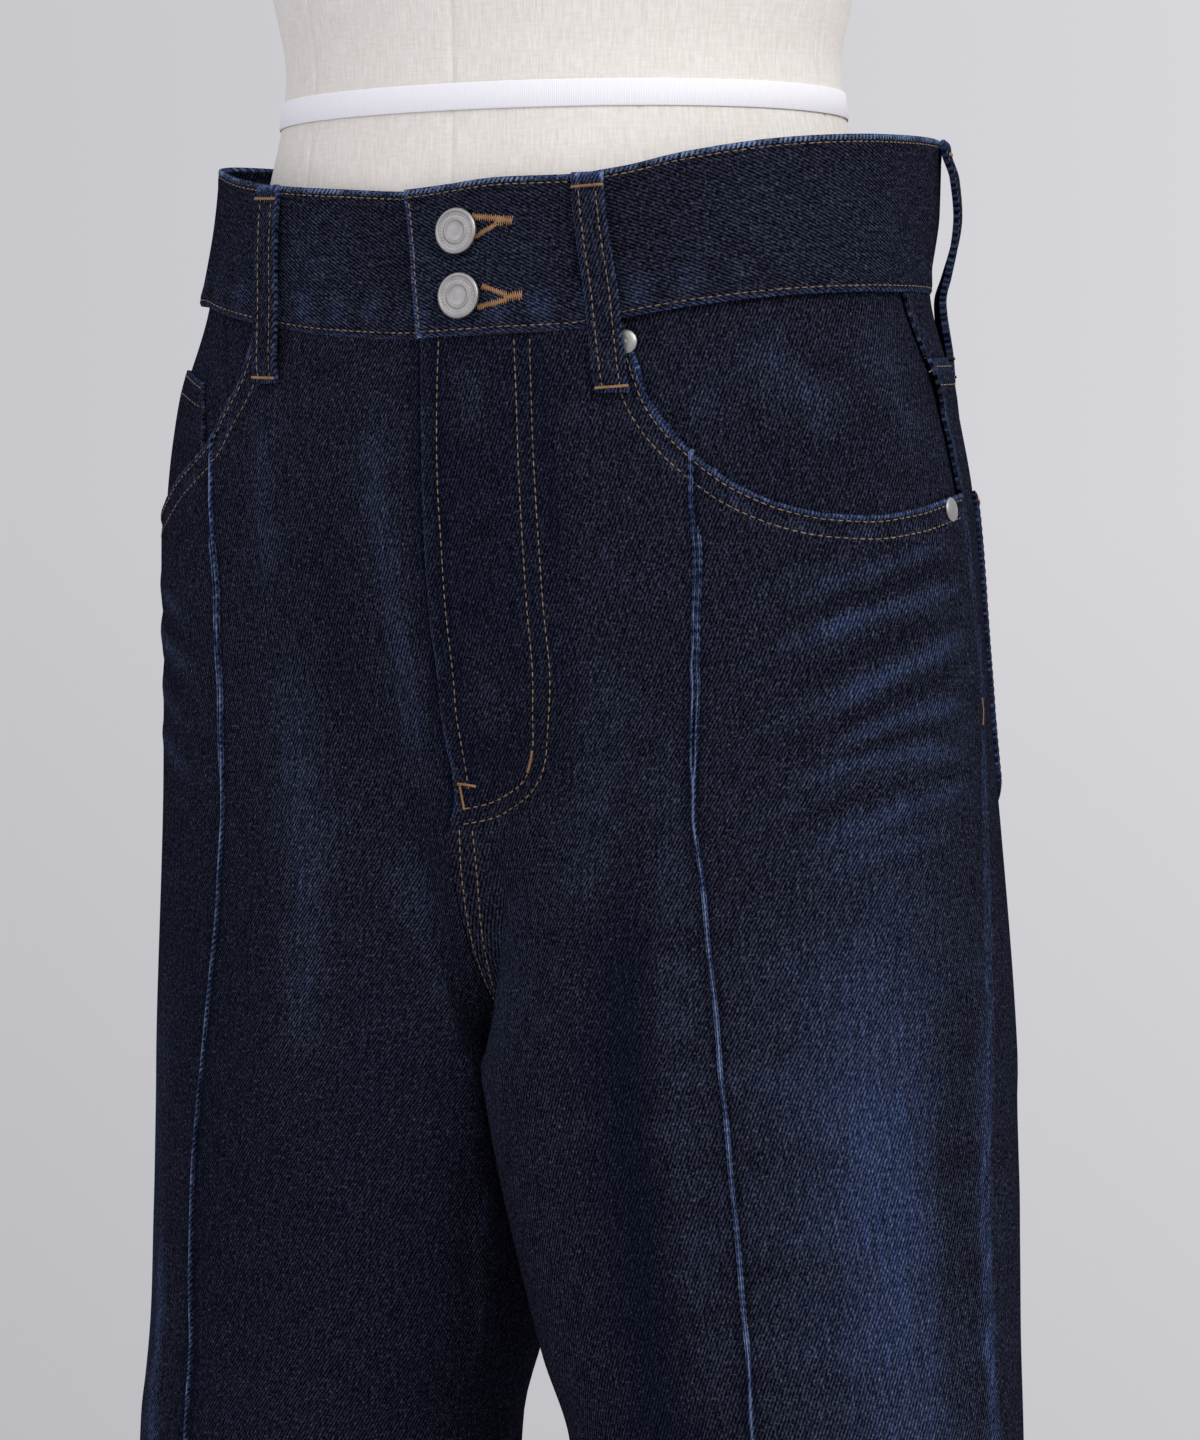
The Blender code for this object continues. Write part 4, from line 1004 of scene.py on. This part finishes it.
loopRows = table(
    "name side angle drop bow lean",
    ("belt_loop_front_left", 1, 44.7, 25, 1.6, 4.8), ("belt_loop_front_right", -1, 40.9, 22, 1.6, -3.6),
    ("belt_loop_side_left", 1, 121, 34, 5.6, 0), ("belt_loop_side_right", -1, 116, 34, 2.6, 0),
    ("belt_loop_back", 1, 180, 32, 2.2, 0),
)
loop = {"width": 12.5, "wall": 2.2, "row": 0.52, "leanOver": 48}


# Where a loop lies and how far it stands off, at a part of its half width from -1 to 1 and at a height
def loopFrame(row):
    foot = float(bandHeight(row.side, "Foot", row.angle))
    top = float(bandHeight(row.side, "Top", row.angle)) - 0.3
    low = foot - row.drop
    levels = [low, low + 0.4 * row.drop, foot - 4, foot + 8, foot + 28, top - 14, top - 5, top]
    stand = np.array([0.35, 1.55, 1.6, 1.2, 1.2, 1.2, 1.3, 1.25])
    stand = stand + row.bow * np.array([0.3, 0.35, 0.45, 0.85, 1, 0.75, 0.2, 0])
    return low, top, table("height stand", *zip(levels, stand))


def loopSpot(row, part, height):
    spot = float(seatSpot(row.angle))
    lean = row.lean * ease(0, 1, (loopFrame(row)[1] - height) / loop["leanOver"])
    return spot + inset(row.side, spot, height, part * loop["width"] / 2 + lean)


def loopLift(row, part, height):
    lift = column(loopFrame(row)[2], "stand", height) + loop["wall"]
    return lift + 0.18 * bump(np.abs(part) - 0.72, 0.3) - 0.2 * bump(np.abs(part) - loop["row"], 0.16)


def makeLoop(row):
    low, top, _ = loopFrame(row)
    half01 = np.array([0.3, 0.44, 0.52, 0.6, 0.68, 0.8, 0.9, 0.97, 1])
    part, height = np.meshgrid(np.concatenate([-half01[::-1], [0], half01]), np.linspace(low, top, 90))
    lift = loopLift(row, part, height) - 0.6 * ease(0.84, 1, np.abs(part))
    lift = lift - 0.5 * bump(top - height, 1.2) - 0.4 * bump(height - low, 1.2)
    lift = lift + 0.35 * bump(top - height - 2, 3)
    wear = 0.4 * ease(0.7, 1, np.abs(part)) * (0.7 + 0.3 * np.sin(height / 1.3)) + 0.3 * bump(height - low, 3)
    wear += (0.7 + 0.15 * np.sin(9 * part)) * bump(top - height, 5.5) + 0.04
    flat = np.stack([row.side * part * loop["width"] / 2, height], -1)
    points = place(row.side, loopSpot(row, part, height), height, lift)
    makeCloth(row.name, row.name, row.side, points, flat, wear, loop["wall"])


for side in (1, -1):
    for make in (makeFront, makeBack, makeYoke, makeBand, makeFacing, makeBackPocket):
        make(side)
makeCoinPocket()
makeFlyShield()
for row in loopRows:
    makeLoop(row)
print("denim pieces made")

# Sewing: one low stitch, copied along each line into one mesh for each region
stitch = {"pitch": 3.2, "length": 2.4, "width": 0.5, "sink": 0.03, "flat": 1.3}
tack = {"step": 0.42, "width": 0.5, "across": 1.15, "rise": 0.25, "reach": 0.3}


def stitchSeed():
    bpy.ops.object.select_all(action="DESELECT")
    bpy.ops.mesh.primitive_uv_sphere_add(segments=6, ring_count=4, radius=1, rotation=(0, math.pi / 2, 0))
    seed = bpy.context.object
    bpy.ops.object.transform_apply(location=True, rotation=True, scale=True)
    points, faces = readPoints(seed.data), [tuple(face.vertices) for face in seed.data.polygons]
    bpy.data.objects.remove(seed, do_unlink=True)
    points[:, 0] = np.sign(points[:, 0]) * np.abs(points[:, 0]) ** 0.6
    return points, faces


seedPoints, seedFaces = stitchSeed()
draws = np.random.default_rng(7)


# Each row of sewn is a start, an end and the outward way, in millimetres
def makeStitches(name, sewn, width, material):
    starts, ends, ups = (np.array([row[i] for row in sewn]) for i in range(3))
    along = ends - starts
    length = np.linalg.norm(along, axis=1, keepdims=True)
    aside = np.cross(ups, along / length)
    aside = aside / np.linalg.norm(aside, axis=1, keepdims=True)
    axes = (along / 2, aside * width / 2, np.cross(along / length, aside) * width / 2 / stitch["flat"])
    points = ((starts + ends) / 2)[:, None]
    points = points + sum(seedPoints[None, :, i:i + 1] * axes[i][:, None] for i in range(3))
    faces = [tuple(len(seedPoints) * k + i for i in face) for k in range(len(sewn)) for face in seedFaces]
    mesh = bpy.data.meshes.new(name)
    mesh.from_pydata((points.reshape(-1, 3) / 1000).tolist(), [], faces)
    piece = bpy.data.objects.new(name, mesh)
    bpy.context.scene.collection.objects.link(piece)
    mesh.shade_smooth()
    dress(piece, material)


def reachAlong(points):
    return np.concatenate([[0], np.cumsum(np.linalg.norm(np.diff(points, axis=0), axis=1))])


def pointAt(points, reach, distance):
    return np.array([np.interp(distance, reach, points[:, i]) for i in range(3)])


# A smooth path of 400 points through a few given ones
def smoothPath(points):
    points = np.array(points, float)
    reach = reachAlong(points * [450, 1])
    ends = np.concatenate([[2 * points[0] - points[1]], points, [2 * points[-1] - points[-2]]])
    t = np.linspace(0, reach[-1], 400)
    i = np.clip(np.searchsorted(reach, t, side="right") - 1, 0, len(points) - 2)
    s = ((t - reach[i]) / (reach[i + 1] - reach[i]))[:, None]
    a, b, c, d = ends[i], ends[i + 1], ends[i + 2], ends[i + 3]
    return 0.5 * (2 * b + (c - a) * s + (2 * a - 5 * b + 4 * c - d) * s**2 + (3 * b - a - 3 * c + d) * s**3)


# The points of a path on a look's surface, the outward ways there and the distance run
def onLook(side, path, look, rise):
    spot, height = path.T
    points = place(side, spot, height, look(side, spot, height)[0] + rise)
    return points, outward(side, spot, height), reachAlong(points)


def sewLine(side, path, look):
    points, ups, reach = onLook(side, path, look, stitch["sink"])
    rows = []
    for k in range(int((reach[-1] - stitch["length"]) / stitch["pitch"]) + 1):
        start = k * stitch["pitch"]
        end = start + stitch["length"]
        start, end = start + draws.uniform(0, 0.35), end + draws.uniform(-0.25, 0.1)
        up = pointAt(ups, reach, (start + end) / 2)
        rows.append((pointAt(points, reach, start), pointAt(points, reach, end), up))
    return rows


# A bar of thread laid across the line at every step
def sewTack(side, path, look, width=tack["across"], uneven=0.07):
    points, ups, reach = onLook(side, path, look, tack["rise"])
    rows = []
    for k in range(int(reach[-1] / tack["step"]) + 1):
        at = k * tack["step"]
        centre, up = pointAt(points, reach, at), pointAt(ups, reach, at)
        along = pointAt(points, reach, at + tack["reach"]) - pointAt(points, reach, at - tack["reach"])
        aside = np.cross(up, along)
        aside = aside / np.linalg.norm(aside) + 0.18 * along / np.linalg.norm(along) * (-1) ** k
        size = width * (0.5 + uneven * (draws.random() - 0.5))
        shove = aside * width * uneven * (draws.random() - 0.5)
        rows.append((centre - aside * size + shove, centre + aside * size + shove, up))
    return rows


def sewBackPocket(sew, side, across01, down):
    path = np.stack(backPocketShape(across01, down), -1)
    return sew(side, path, lambda *where: backPocketLook(*where, across01, down))


def offsetPocketLine(side, distance):
    line = pocketEdges[side]
    run = np.gradient(line, axis=0)
    normal = np.stack([run[:, 1], -run[:, 0]], -1) / np.linalg.norm(run, axis=1, keepdims=True)
    flat, height = (line + normal * distance).T
    spot = spotAt(side, flat, height)
    inside = flat < across(side, cloth["sideSpot"] - 0.002, height)
    keep = inside & (height < bandHeight(side, "Foot", angleOf(spot)) - 1)
    return np.stack([spot, height], -1)[keep]


def straight(a, b, count=60):
    return np.linspace(np.array(a, float), np.array(b, float), count)


def levelLine(start, end, heightOf, count=400):
    spot = np.linspace(start, end, count)
    return np.stack([spot, heightOf(spot)], -1)


# The fly edge's row, the inner and outer J, then both rows of the seam below, by spot and height
flyLines = [
    [(0.0303, 1024), (0.0255, 1000), (0.0209, 971), (0.0193, 951), (0.0174, 928), (0.0172, 893),
     (0.0205, 879), (0.0241, 867), (0.0257, 857)],
    [(0.1115, 1024), (0.1101, 1001), (0.1064, 970), (0.1016, 921), (0.1010, 892), (0.1040, 876),
     (0.1023, 867), (0.0905, 860.4), (0.0602, 856), (0.0348, 853.7), (0.0135, 852.4)],
    [(0.1262, 1024), (0.1236, 1001), (0.1207, 975), (0.1161, 921), (0.1161, 882), (0.1165, 871),
     (0.1130, 863.5), (0.1017, 856.7), (0.0792, 852), (0.0457, 848.9), (0.0100, 846.6)],
    [(0.0121, 845), (0.0100, 828), (0.0070, 808), (0.0042, 785), (0.0042, 765)],
    [(0.0255, 845), (0.0262, 828), (0.0225, 808), (0.0180, 785), (0.0180, 768)],
]
sewn = {name: [] for name in ("fly", "band", "front_pockets", "back", "hems", "loops")}
for line in flyLines:
    sewn["fly"] += sewLine(1, smoothPath(line), frontLook)
hemRow = cloth["hemBottom"] + cloth["hemFold"] - 3
for side in (1, -1):
    for distance in (2.4, 8.6):
        sewn["front_pockets"] += sewLine(side, offsetPocketLine(side, distance), frontLook)
    starts = (-0.0095, 0.012) if side > 0 else (-0.048, -0.048)
    for start, edge, rise in zip(starts, ("Top", "Foot"), (-2.9, 2.2)):
        line = levelLine(start, 0.998, lambda s: bandHeight(side, edge, angleOf(s)) + rise, 900)
        sewn["band"] += sewLine(side, line, bandLook)
    for drop in (3.4, 10.0):
        line = levelLine(0.503, 0.997, lambda s: column(yokeLines, "height", angleOf(s)) - drop)
        sewn["back"] += sewLine(side, line, backLook)
    for spot in (0.994, 0.982) if side > 0 else ():
        sewn["back"] += sewLine(side, straight((spot, 800), (spot, 968), 300), backLook)
        sewn["back"] += sewLine(side, straight((spot, 980), (spot, 1042), 100), yokeLook)
    for keep in (0.022, 0.072):
        foot = np.linspace(keep, 1 - keep, 120)
        edge = np.linspace(0.0, 0.97, 80)
        across01 = np.concatenate([np.full(80, keep), foot, np.full(80, 1 - keep)])
        down = np.concatenate([edge, np.full(120, 0.985 - keep * 0.4), edge[::-1]])
        sewn["back"] += sewBackPocket(sewLine, side, across01, down)
    for down in (0.028, 0.092):
        sewn["back"] += sewBackPocket(sewLine, side, np.linspace(0.03, 0.97, 120), np.full(120, down))
    for start, end, look in ((0.004, 0.496, frontLook), (0.504, 0.996, backLook)):
        sewn["hems"] += sewLine(side, levelLine(start, end, lambda s: np.full(len(s), hemRow)), look)
endShares = np.linspace(0.06, 0.94, 60)
sewn["band"] += sewLine(1, np.stack([bandEnd(endShares) + 0.0045, 1025 + 55 * endShares], -1), bandLook)
for drop in coin["rows"]:
    line = np.stack(coinPlace(np.linspace(0.012, 0.99, 200), np.ones(200)), -1) - (0, drop)
    sewn["front_pockets"] += sewLine(-1, line, coinLook)

tacks, holeRows = [], []
for row in loopRows:
    low, top, _ = loopFrame(row)
    for part in (-loop["row"], loop["row"]):
        height = np.linspace(low + 1.5, top - 0.4, 120)
        path = np.stack([loopSpot(row, part, height), height], -1)
        sewn["loops"] += sewLine(row.side, path, lambda side, s, h: [loopLift(row, part, h)])
    for level in [top - 5.2, low + 2.0] if row.angle < 90 else [top - 5.2, low + 3.0, low + 9.5]:
        part, height = np.linspace(-0.92, 1.03, 60), np.linspace(level - 0.3, level + 0.4, 60)
        path = np.stack([loopSpot(row, part, height), height], -1)
        tacks += sewTack(row.side, path, lambda side, s, h: [loopLift(row, part, h)])
for line, width in (
    ([(0.1038, 873.6), (0.1030, 870), (0.1010, 865.8)], tack["across"]),
    ([(0.0150, 862), (0.0340, 861)], 1.1), ([(0.0165, 862), (0.0190, 852.5)], 0.9),
):
    tacks += sewTack(1, smoothPath(line), frontLook, width)
for side in (1, -1):
    tacks += sewTack(side, straight((0.4975, 893), (0.4985, 883)), frontLook)
    for part in (0.035, 0.965):
        tacks += sewBackPocket(sewTack, side, part + np.linspace(-0.03, 0.03, 40), np.full(40, 0.03))

# Each buttonhole is a keyhole slit, opened to a V by the button's shank
buttons = table(
    "name side angle height lift",
    ("button_upper", 1, 13.5, 1063.6, band["lap"] + band["lift"]),
    ("button_lower", 1, 14.8, 1039.8, band["lap"] + band["lift"]),
)
holes = table(
    "button dx dy toX toY width",
    (0, 5.4, 5.3, 17.6, 3.9, 2.4), (0, 7.0, -2.2, 15.4, 2.4, 2.0), (0, 15.4, 3.6, 21.0, 3.4, 3.3),
    (1, 8.6, 3.4, 17.6, 0.0, 2.1), (1, 6.6, -4.3, 17.6, -2.0, 2.3), (1, 17.0, -1.1, 23.2, 0.0, 3.3),
)
for hole in holes:
    button = buttons[hole.button]
    centre = float(seatSpot(button.angle))
    a, b = (centre + inset(1, centre, button.height, d) for d in (hole.dx, hole.toX))
    line = straight((a, button.height + hole.dy), (b, button.height + hole.toY))
    holeRows += sewTack(1, line, bandLook, hole.width, 0.22)

for name, rows in sewn.items():
    makeStitches("stitching_" + name, rows, stitch["width"], goldThread)
makeStitches("bartacks", tacks, tack["width"], rustThread)
makeStitches("buttonholes", holeRows, tack["width"], rustThread)
print("stitches:", sum(len(rows) for rows in sewn.values()), "tacks:", len(tacks) + len(holeRows))

# The band's folded top edge pulls into a rope: short slanted ridges, rubbed pale
rope = {"pitch": 1.9, "width": 1.35, "low": 2.3, "high": 0.2, "slant": 1.2, "sink": -0.25, "level": 1085.0}
for side in (1, -1):
    topLess = lambda spot, less: bandHeight(side, "Top", angleOf(spot)) - less
    start = band["ends"][2] + 0.003 if side > 0 else -0.045
    path = levelLine(start, 0.996, lambda s: topLess(s, rope["low"]), 1200)
    reach = reachAlong(place(side, path[:, 0], path[:, 1], np.zeros(len(path))))
    places = np.arange(0.5, reach[-1] - 1, rope["pitch"])
    foot = np.interp(places + draws.uniform(-0.25, 0.25, len(places)), reach, path[:, 0])
    tip = foot + side * inset(side, foot, np.full(len(foot), rope["level"]), rope["slant"])
    footHeight = topLess(foot, rope["low"])
    lift = bandLook(side, foot, footHeight)[0] + rope["sink"]
    starts = place(side, foot, footHeight, lift)
    ends = place(side, tip, topLess(tip, rope["high"]), lift - 0.2)
    rows = list(zip(starts, ends, outward(side, foot, footHeight)))
    makeStitches("roped_band_edge_" + sideName(side), rows, rope["width"], wornEdge)


def sideways(axis):
    first = np.cross((0, 0, 1), axis)
    first = np.array([1.0, 0, 0]) if np.linalg.norm(first) < 1e-6 else first / np.linalg.norm(first)
    return first, np.cross(axis, first)


# Turned pieces: a profile of radius and height, spun in edit mode about its axis
def turnPiece(name, profile, steps, centre, axis, material, slotName, node):
    bpy.ops.object.select_all(action="DESELECT")
    bpy.ops.mesh.primitive_plane_add(size=1)
    piece = bpy.context.object
    mesh = piece.data
    piece.name = mesh.name = name
    mesh.clear_geometry()
    points = [(radius / 1000, 0, height / 1000) for radius, height in profile]
    mesh.from_pydata(points, [(i, i + 1) for i in range(len(points) - 1)], [])
    bpy.ops.object.mode_set(mode="EDIT")
    bpy.ops.mesh.select_all(action="SELECT")
    bpy.ops.mesh.spin(steps=steps, angle=2 * math.pi, center=(0, 0, 0), axis=(0, 0, 1))
    bpy.ops.mesh.select_all(action="SELECT")
    bpy.ops.mesh.remove_doubles(threshold=0.000004)
    bpy.ops.mesh.select_all(action="SELECT")
    bpy.ops.mesh.normals_make_consistent(inside=False)
    bpy.ops.object.mode_set(mode="OBJECT")
    axis = np.array(axis, float) / np.linalg.norm(axis)
    moved = readPoints(mesh) @ np.array([*sideways(axis), axis]) + np.array(centre) / 1000
    mesh.vertices.foreach_set("co", moved.ravel())
    mesh.update()
    smooth(piece, 35)
    dress(piece, material, node)


buttonProfile = [
    (0, 0.3), (3.6, 0.3), (3.6, 1.5), (8.0, 1.65), (8.42, 1.85), (8.55, 2.35), (8.5, 2.85), (8.25, 3.2),
    (7.85, 3.38), (7.45, 3.36), (7.2, 3.16), (6.9, 3.06), (5.4, 3.0), (4.95, 3.04), (4.7, 3.22), (4.35, 3.34),
    (4.0, 3.26), (3.7, 3.02), (3.3, 2.92), (1.6, 2.96), (0, 3.0),
]
rivetProfile = [
    (0, 0.25), (4.3, 0.25), (4.45, 0.45), (4.4, 0.75), (4.0, 1.15), (3.3, 1.45), (2.4, 1.62), (1.5, 1.66),
    (1.2, 1.58), (0.9, 1.62), (0.4, 1.72), (0, 1.74),
]
rivets = table(
    "name side angle height lift",
    ("rivet_upper_left", 1, 50.1, 1022, 0), ("rivet_lower_left", 1, 94.8, 962, 0),
    ("rivet_upper_right", -1, 41.4, 1023, 0), ("rivet_lower_right", -1, 94.8, 962, 0),
)
dot = {"inner": 5.73, "outer": 6.57, "count": 32, "height": 3.02, "width": 0.5}


def studFrame(row):
    spot, height = np.array([float(seatSpot(row.angle))]), np.array([float(row.height)])
    return place(row.side, spot, height, np.array([row.lift]))[0], outward(row.side, spot, height)[0]


for row in buttons:
    centre, axis = studFrame(row)
    turnPiece("nickel_" + row.name, buttonProfile, 72, centre, axis, nickel, "button_metal", row.name)
    first, second = sideways(axis)
    turns = [2 * math.pi * k / dot["count"] for k in range(dot["count"])]
    ways = [math.cos(turn) * first + math.sin(turn) * second for turn in turns]
    base = centre + axis * dot["height"]
    rows = [(base + way * dot["inner"], base + way * dot["outer"], axis) for way in ways]
    makeStitches("nickel_dots_" + row.name, rows, dot["width"], nickel)
for row in rivets:
    turnPiece("nickel_" + row.name, rivetProfile, 40, *studFrame(row), nickel, "rivet_metal", row.name)
print("buttons and rivets made")

formRows = table(
    "height halfWidth front back power",
    (800, 98, 42, 76, 2.2), (805, 110, 50, 85, 2.2), (820, 123, 58, 93, 2.2), (850, 135, 67, 99, 2.15),
    (885, 141, 74, 101, 2.1), (930, 143, 79, 100, 2.1), (970, 140, 80.5, 95, 2.1), (1010, 134, 80.5, 88, 2.1),
    (1045, 127, 80.9, 83, 2.1), (1080, 120.5, 80.4, 81, 2.1), (1114, 112, 79.3, 81, 2.1),
    (1130, 110.5, 79.4, 81, 2.1), (1156, 115.5, 82, 85, 2.1), (1200, 127, 93, 90, 2.15),
    (1245, 135, 106, 92, 2.15), (1285, 140, 111, 93, 2.15), (1330, 146, 102, 95, 2.2),
    (1375, 153, 86, 92, 2.25), (1415, 155, 70, 82, 2.3), (1440, 144, 60, 72, 2.3), (1458, 118, 52, 63, 2.25),
    (1472, 86, 48, 55, 2.15), (1486, 63, 47, 50, 2.05), (1515, 54, 47, 49, 2.0), (1560, 52, 48, 48, 2.0),
)
form = {
    "seams": (0, 48, 90, 132, 180, 228, 270, 312, 360), "groove": 0.45, "grooveHalf": 1.8, "radius": 125,
    "tapeFoot": 1109, "tapeTop": 1119, "tapeRadius": 112, "piping": 0.8, "pipingLevel": 1482, "pipingHalf": 3,
}


def formGrid(turns, heights, lift):
    turn, level = np.meshgrid(np.radians(turns), heights)
    reach = oval(turn, *(column(formRows, f, level) for f in ("halfWidth", "front", "back", "power"))) + lift
    return np.stack([reach * np.sin(turn), -reach * np.cos(turn), level], -1), reach


def ringPiece(name, points, flat, material, node):
    piece = startGrid(name, points, flat)[0]
    bpy.ops.object.mode_set(mode="EDIT")
    bpy.ops.mesh.select_all(action="SELECT")
    bpy.ops.mesh.remove_doubles(threshold=0.00001)
    bpy.ops.object.mode_set(mode="OBJECT")
    smooth(piece, 50)
    dress(piece, material, node)


def makeForm():
    turns = spread(*[(a, b, 22) for a, b in zip(form["seams"][:-1], form["seams"][1:])])
    extra = [seam + d for seam in form["seams"] for d in (-0.9, -0.45, 0, 0.45, 0.9) if 0 <= seam + d <= 360]
    turns = np.unique(np.round(np.concatenate([turns, extra]), 3))
    levels = [row.height for row in formRows] + [form["tapeFoot"], form["tapeTop"]]
    heights = np.unique(np.concatenate([np.linspace(800, 1560, 150), levels]))
    reach = formGrid(turns, heights, 0.0)[1]
    nearest = np.min([np.abs(turns - seam) for seam in form["seams"]], axis=0)
    groove = form["groove"] * bump(np.radians(nearest)[None, :] * reach, form["grooveHalf"])
    piping = form["piping"] * np.exp(-((heights[:, None] - form["pipingLevel"]) / form["pipingHalf"]) ** 2)
    points = formGrid(turns, heights, piping - groove)[0]
    points = np.concatenate([points[:1] * [0, 0, 1], points, points[-1:] * [0, 0, 1]])
    around = np.broadcast_to(np.radians(turns) * form["radius"], points.shape[:2])
    flat = np.stack([around, points[..., 2]], -1)
    ringPiece("linen_form", points, flat, linen, "dress_form")


def makeTapeRing():
    turns = np.linspace(0, 360, 181)
    levels = form["tapeFoot"] + np.array([0, 0.6, 5, 9.4, 10])
    outer, _ = formGrid(turns, levels, np.array([[0.7, 1, 1, 1, 0.7]]).T)
    inner, _ = formGrid(turns, [form["tapeTop"], form["tapeFoot"]], 0.3)
    points = np.concatenate([outer, inner, outer[:1]])
    drop = np.array([0, 0.6, 5, 9.4, 10, 10.7, 20.7, 21])
    flat = np.stack(np.broadcast_arrays(np.radians(turns) * form["tapeRadius"], drop[:, None]), -1)
    ringPiece("cotton_waist_tape", points, flat, tape, "waist_tape")


makeForm()
makeTapeRing()
poleFoot = (-82.0, 8.0, 0)
standParts = table(
    "name steps centre profile",
    ("neck_cap", 96, (0, 0, 1560.3),
     [(0, 0), (50, 0), (52.2, 0.6), (53, 2), (53, 8), (52.2, 9.6), (50, 10.8), (46, 11), (0, 11)]),
    ("stand_base", 128, (0, 0, 0),
     [(0, 0), (191, 0), (193.6, 0.5), (195, 2), (195, 7), (194.2, 9), (191, 10), (0, 10)]),
    ("stand_pole", 48, poleFoot,
     [(0, 10.3), (12.3, 10.3), (12.5, 10.6), (12.5, 799.4), (12.3, 799.7), (0, 799.7)]),
    ("stand_collar", 64, poleFoot,
     [(12.9, 10.3), (26.4, 10.3), (27, 10.9), (27, 15.2), (26.2, 16.6), (20.2, 34.4), (19, 36), (12.9, 36),
      (12.9, 10.3)]),
)
for row in standParts:
    name, upright = "coated_" + row.name, (0, 0, 1)
    turnPiece(name, row.profile, row.steps, row.centre, upright, coat, "stand_metal", row.name)
print("form and stand made")

# Floor, light and camera
view = {"azimuth": 30, "distance": 2.6, "height": 0.885, "aside": 0.0147, "lens": 172.25, "lightLevel": 0.95}
bpy.ops.object.select_all(action="DESELECT")
bpy.ops.mesh.primitive_plane_add(size=4.4)
floor = bpy.context.object
floor.name = "floor"
floor.data.materials.append(makeFloor())


def addToScene(name, data, location, rotation):
    item = bpy.data.objects.new(name, data)
    bpy.context.scene.collection.objects.link(item)
    item.location = location
    item.rotation_euler = rotation
    return item


azimuth = math.radians(view["azimuth"])
cameraData = bpy.data.cameras.new("camera")
cameraData.lens = view["lens"]
cameraData.sensor_width = 36
cameraData.clip_end = 50
bpy.context.scene.camera = addToScene("camera", cameraData, (
    math.sin(azimuth) * view["distance"] + math.cos(azimuth) * view["aside"],
    -math.cos(azimuth) * view["distance"] + math.sin(azimuth) * view["aside"],
    view["height"],
), (math.pi / 2, 0, azimuth))

lights = table(
    "name azimuth elevation distance size power colour",
    ("key", 62, 38, 3.2, 2.0, 50, "#ffffff"),
    ("fill", -30, 22, 3.4, 2.6, 16, "#f4f6ff"),
    ("rear", 200, 50, 3.2, 2.2, 26, "#ffffff"),
)
for row in lights:
    lamp = bpy.data.lights.new(row.name, "AREA")
    lamp.shape, lamp.size, lamp.energy, lamp.color = "DISK", row.size, row.power, hexColour(row.colour)[:3]
    turn, rise = math.radians(row.azimuth), math.radians(row.elevation)
    level, height = math.cos(rise) * row.distance, view["lightLevel"] + math.sin(rise) * row.distance
    where = (math.sin(turn) * level, -math.cos(turn) * level, height)
    addToScene(row.name, lamp, where, (math.pi / 2 - rise, 0, turn))

world = bpy.data.worlds.new("studio")
bpy.context.scene.world = world
world.use_nodes = True
world.node_tree.nodes.clear()
way = addNode(world, "TexCoord")
parts = addNode(world, "SeparateXYZ", links={0: way.outputs["Generated"]})
airSide = addNode(world, "MapRange", {"From Min": -0.62, "From Max": -0.36}, {"Value": parts.outputs["X"]})
upright = addNode(world, "MapRange", {"From Min": -0.105, "From Max": 0.03, "To Min": 0.87, "To Max": 1.0},
                  {"Value": parts.outputs["Z"]})
air = addNode(world, "Mix", {"data_type": "RGBA", 6: hexColour("#c3c2c7"), 7: hexColour("#dddce1")},
              {0: airSide.outputs[0]})
back = addNode(world, "Background", links={"Color": air.outputs[2], "Strength": upright.outputs[0]})
addNode(world, "OutputWorld", links={"Surface": back.outputs[0]})
bpy.context.scene.view_settings.view_transform = "Standard"
print("stage and camera ready")
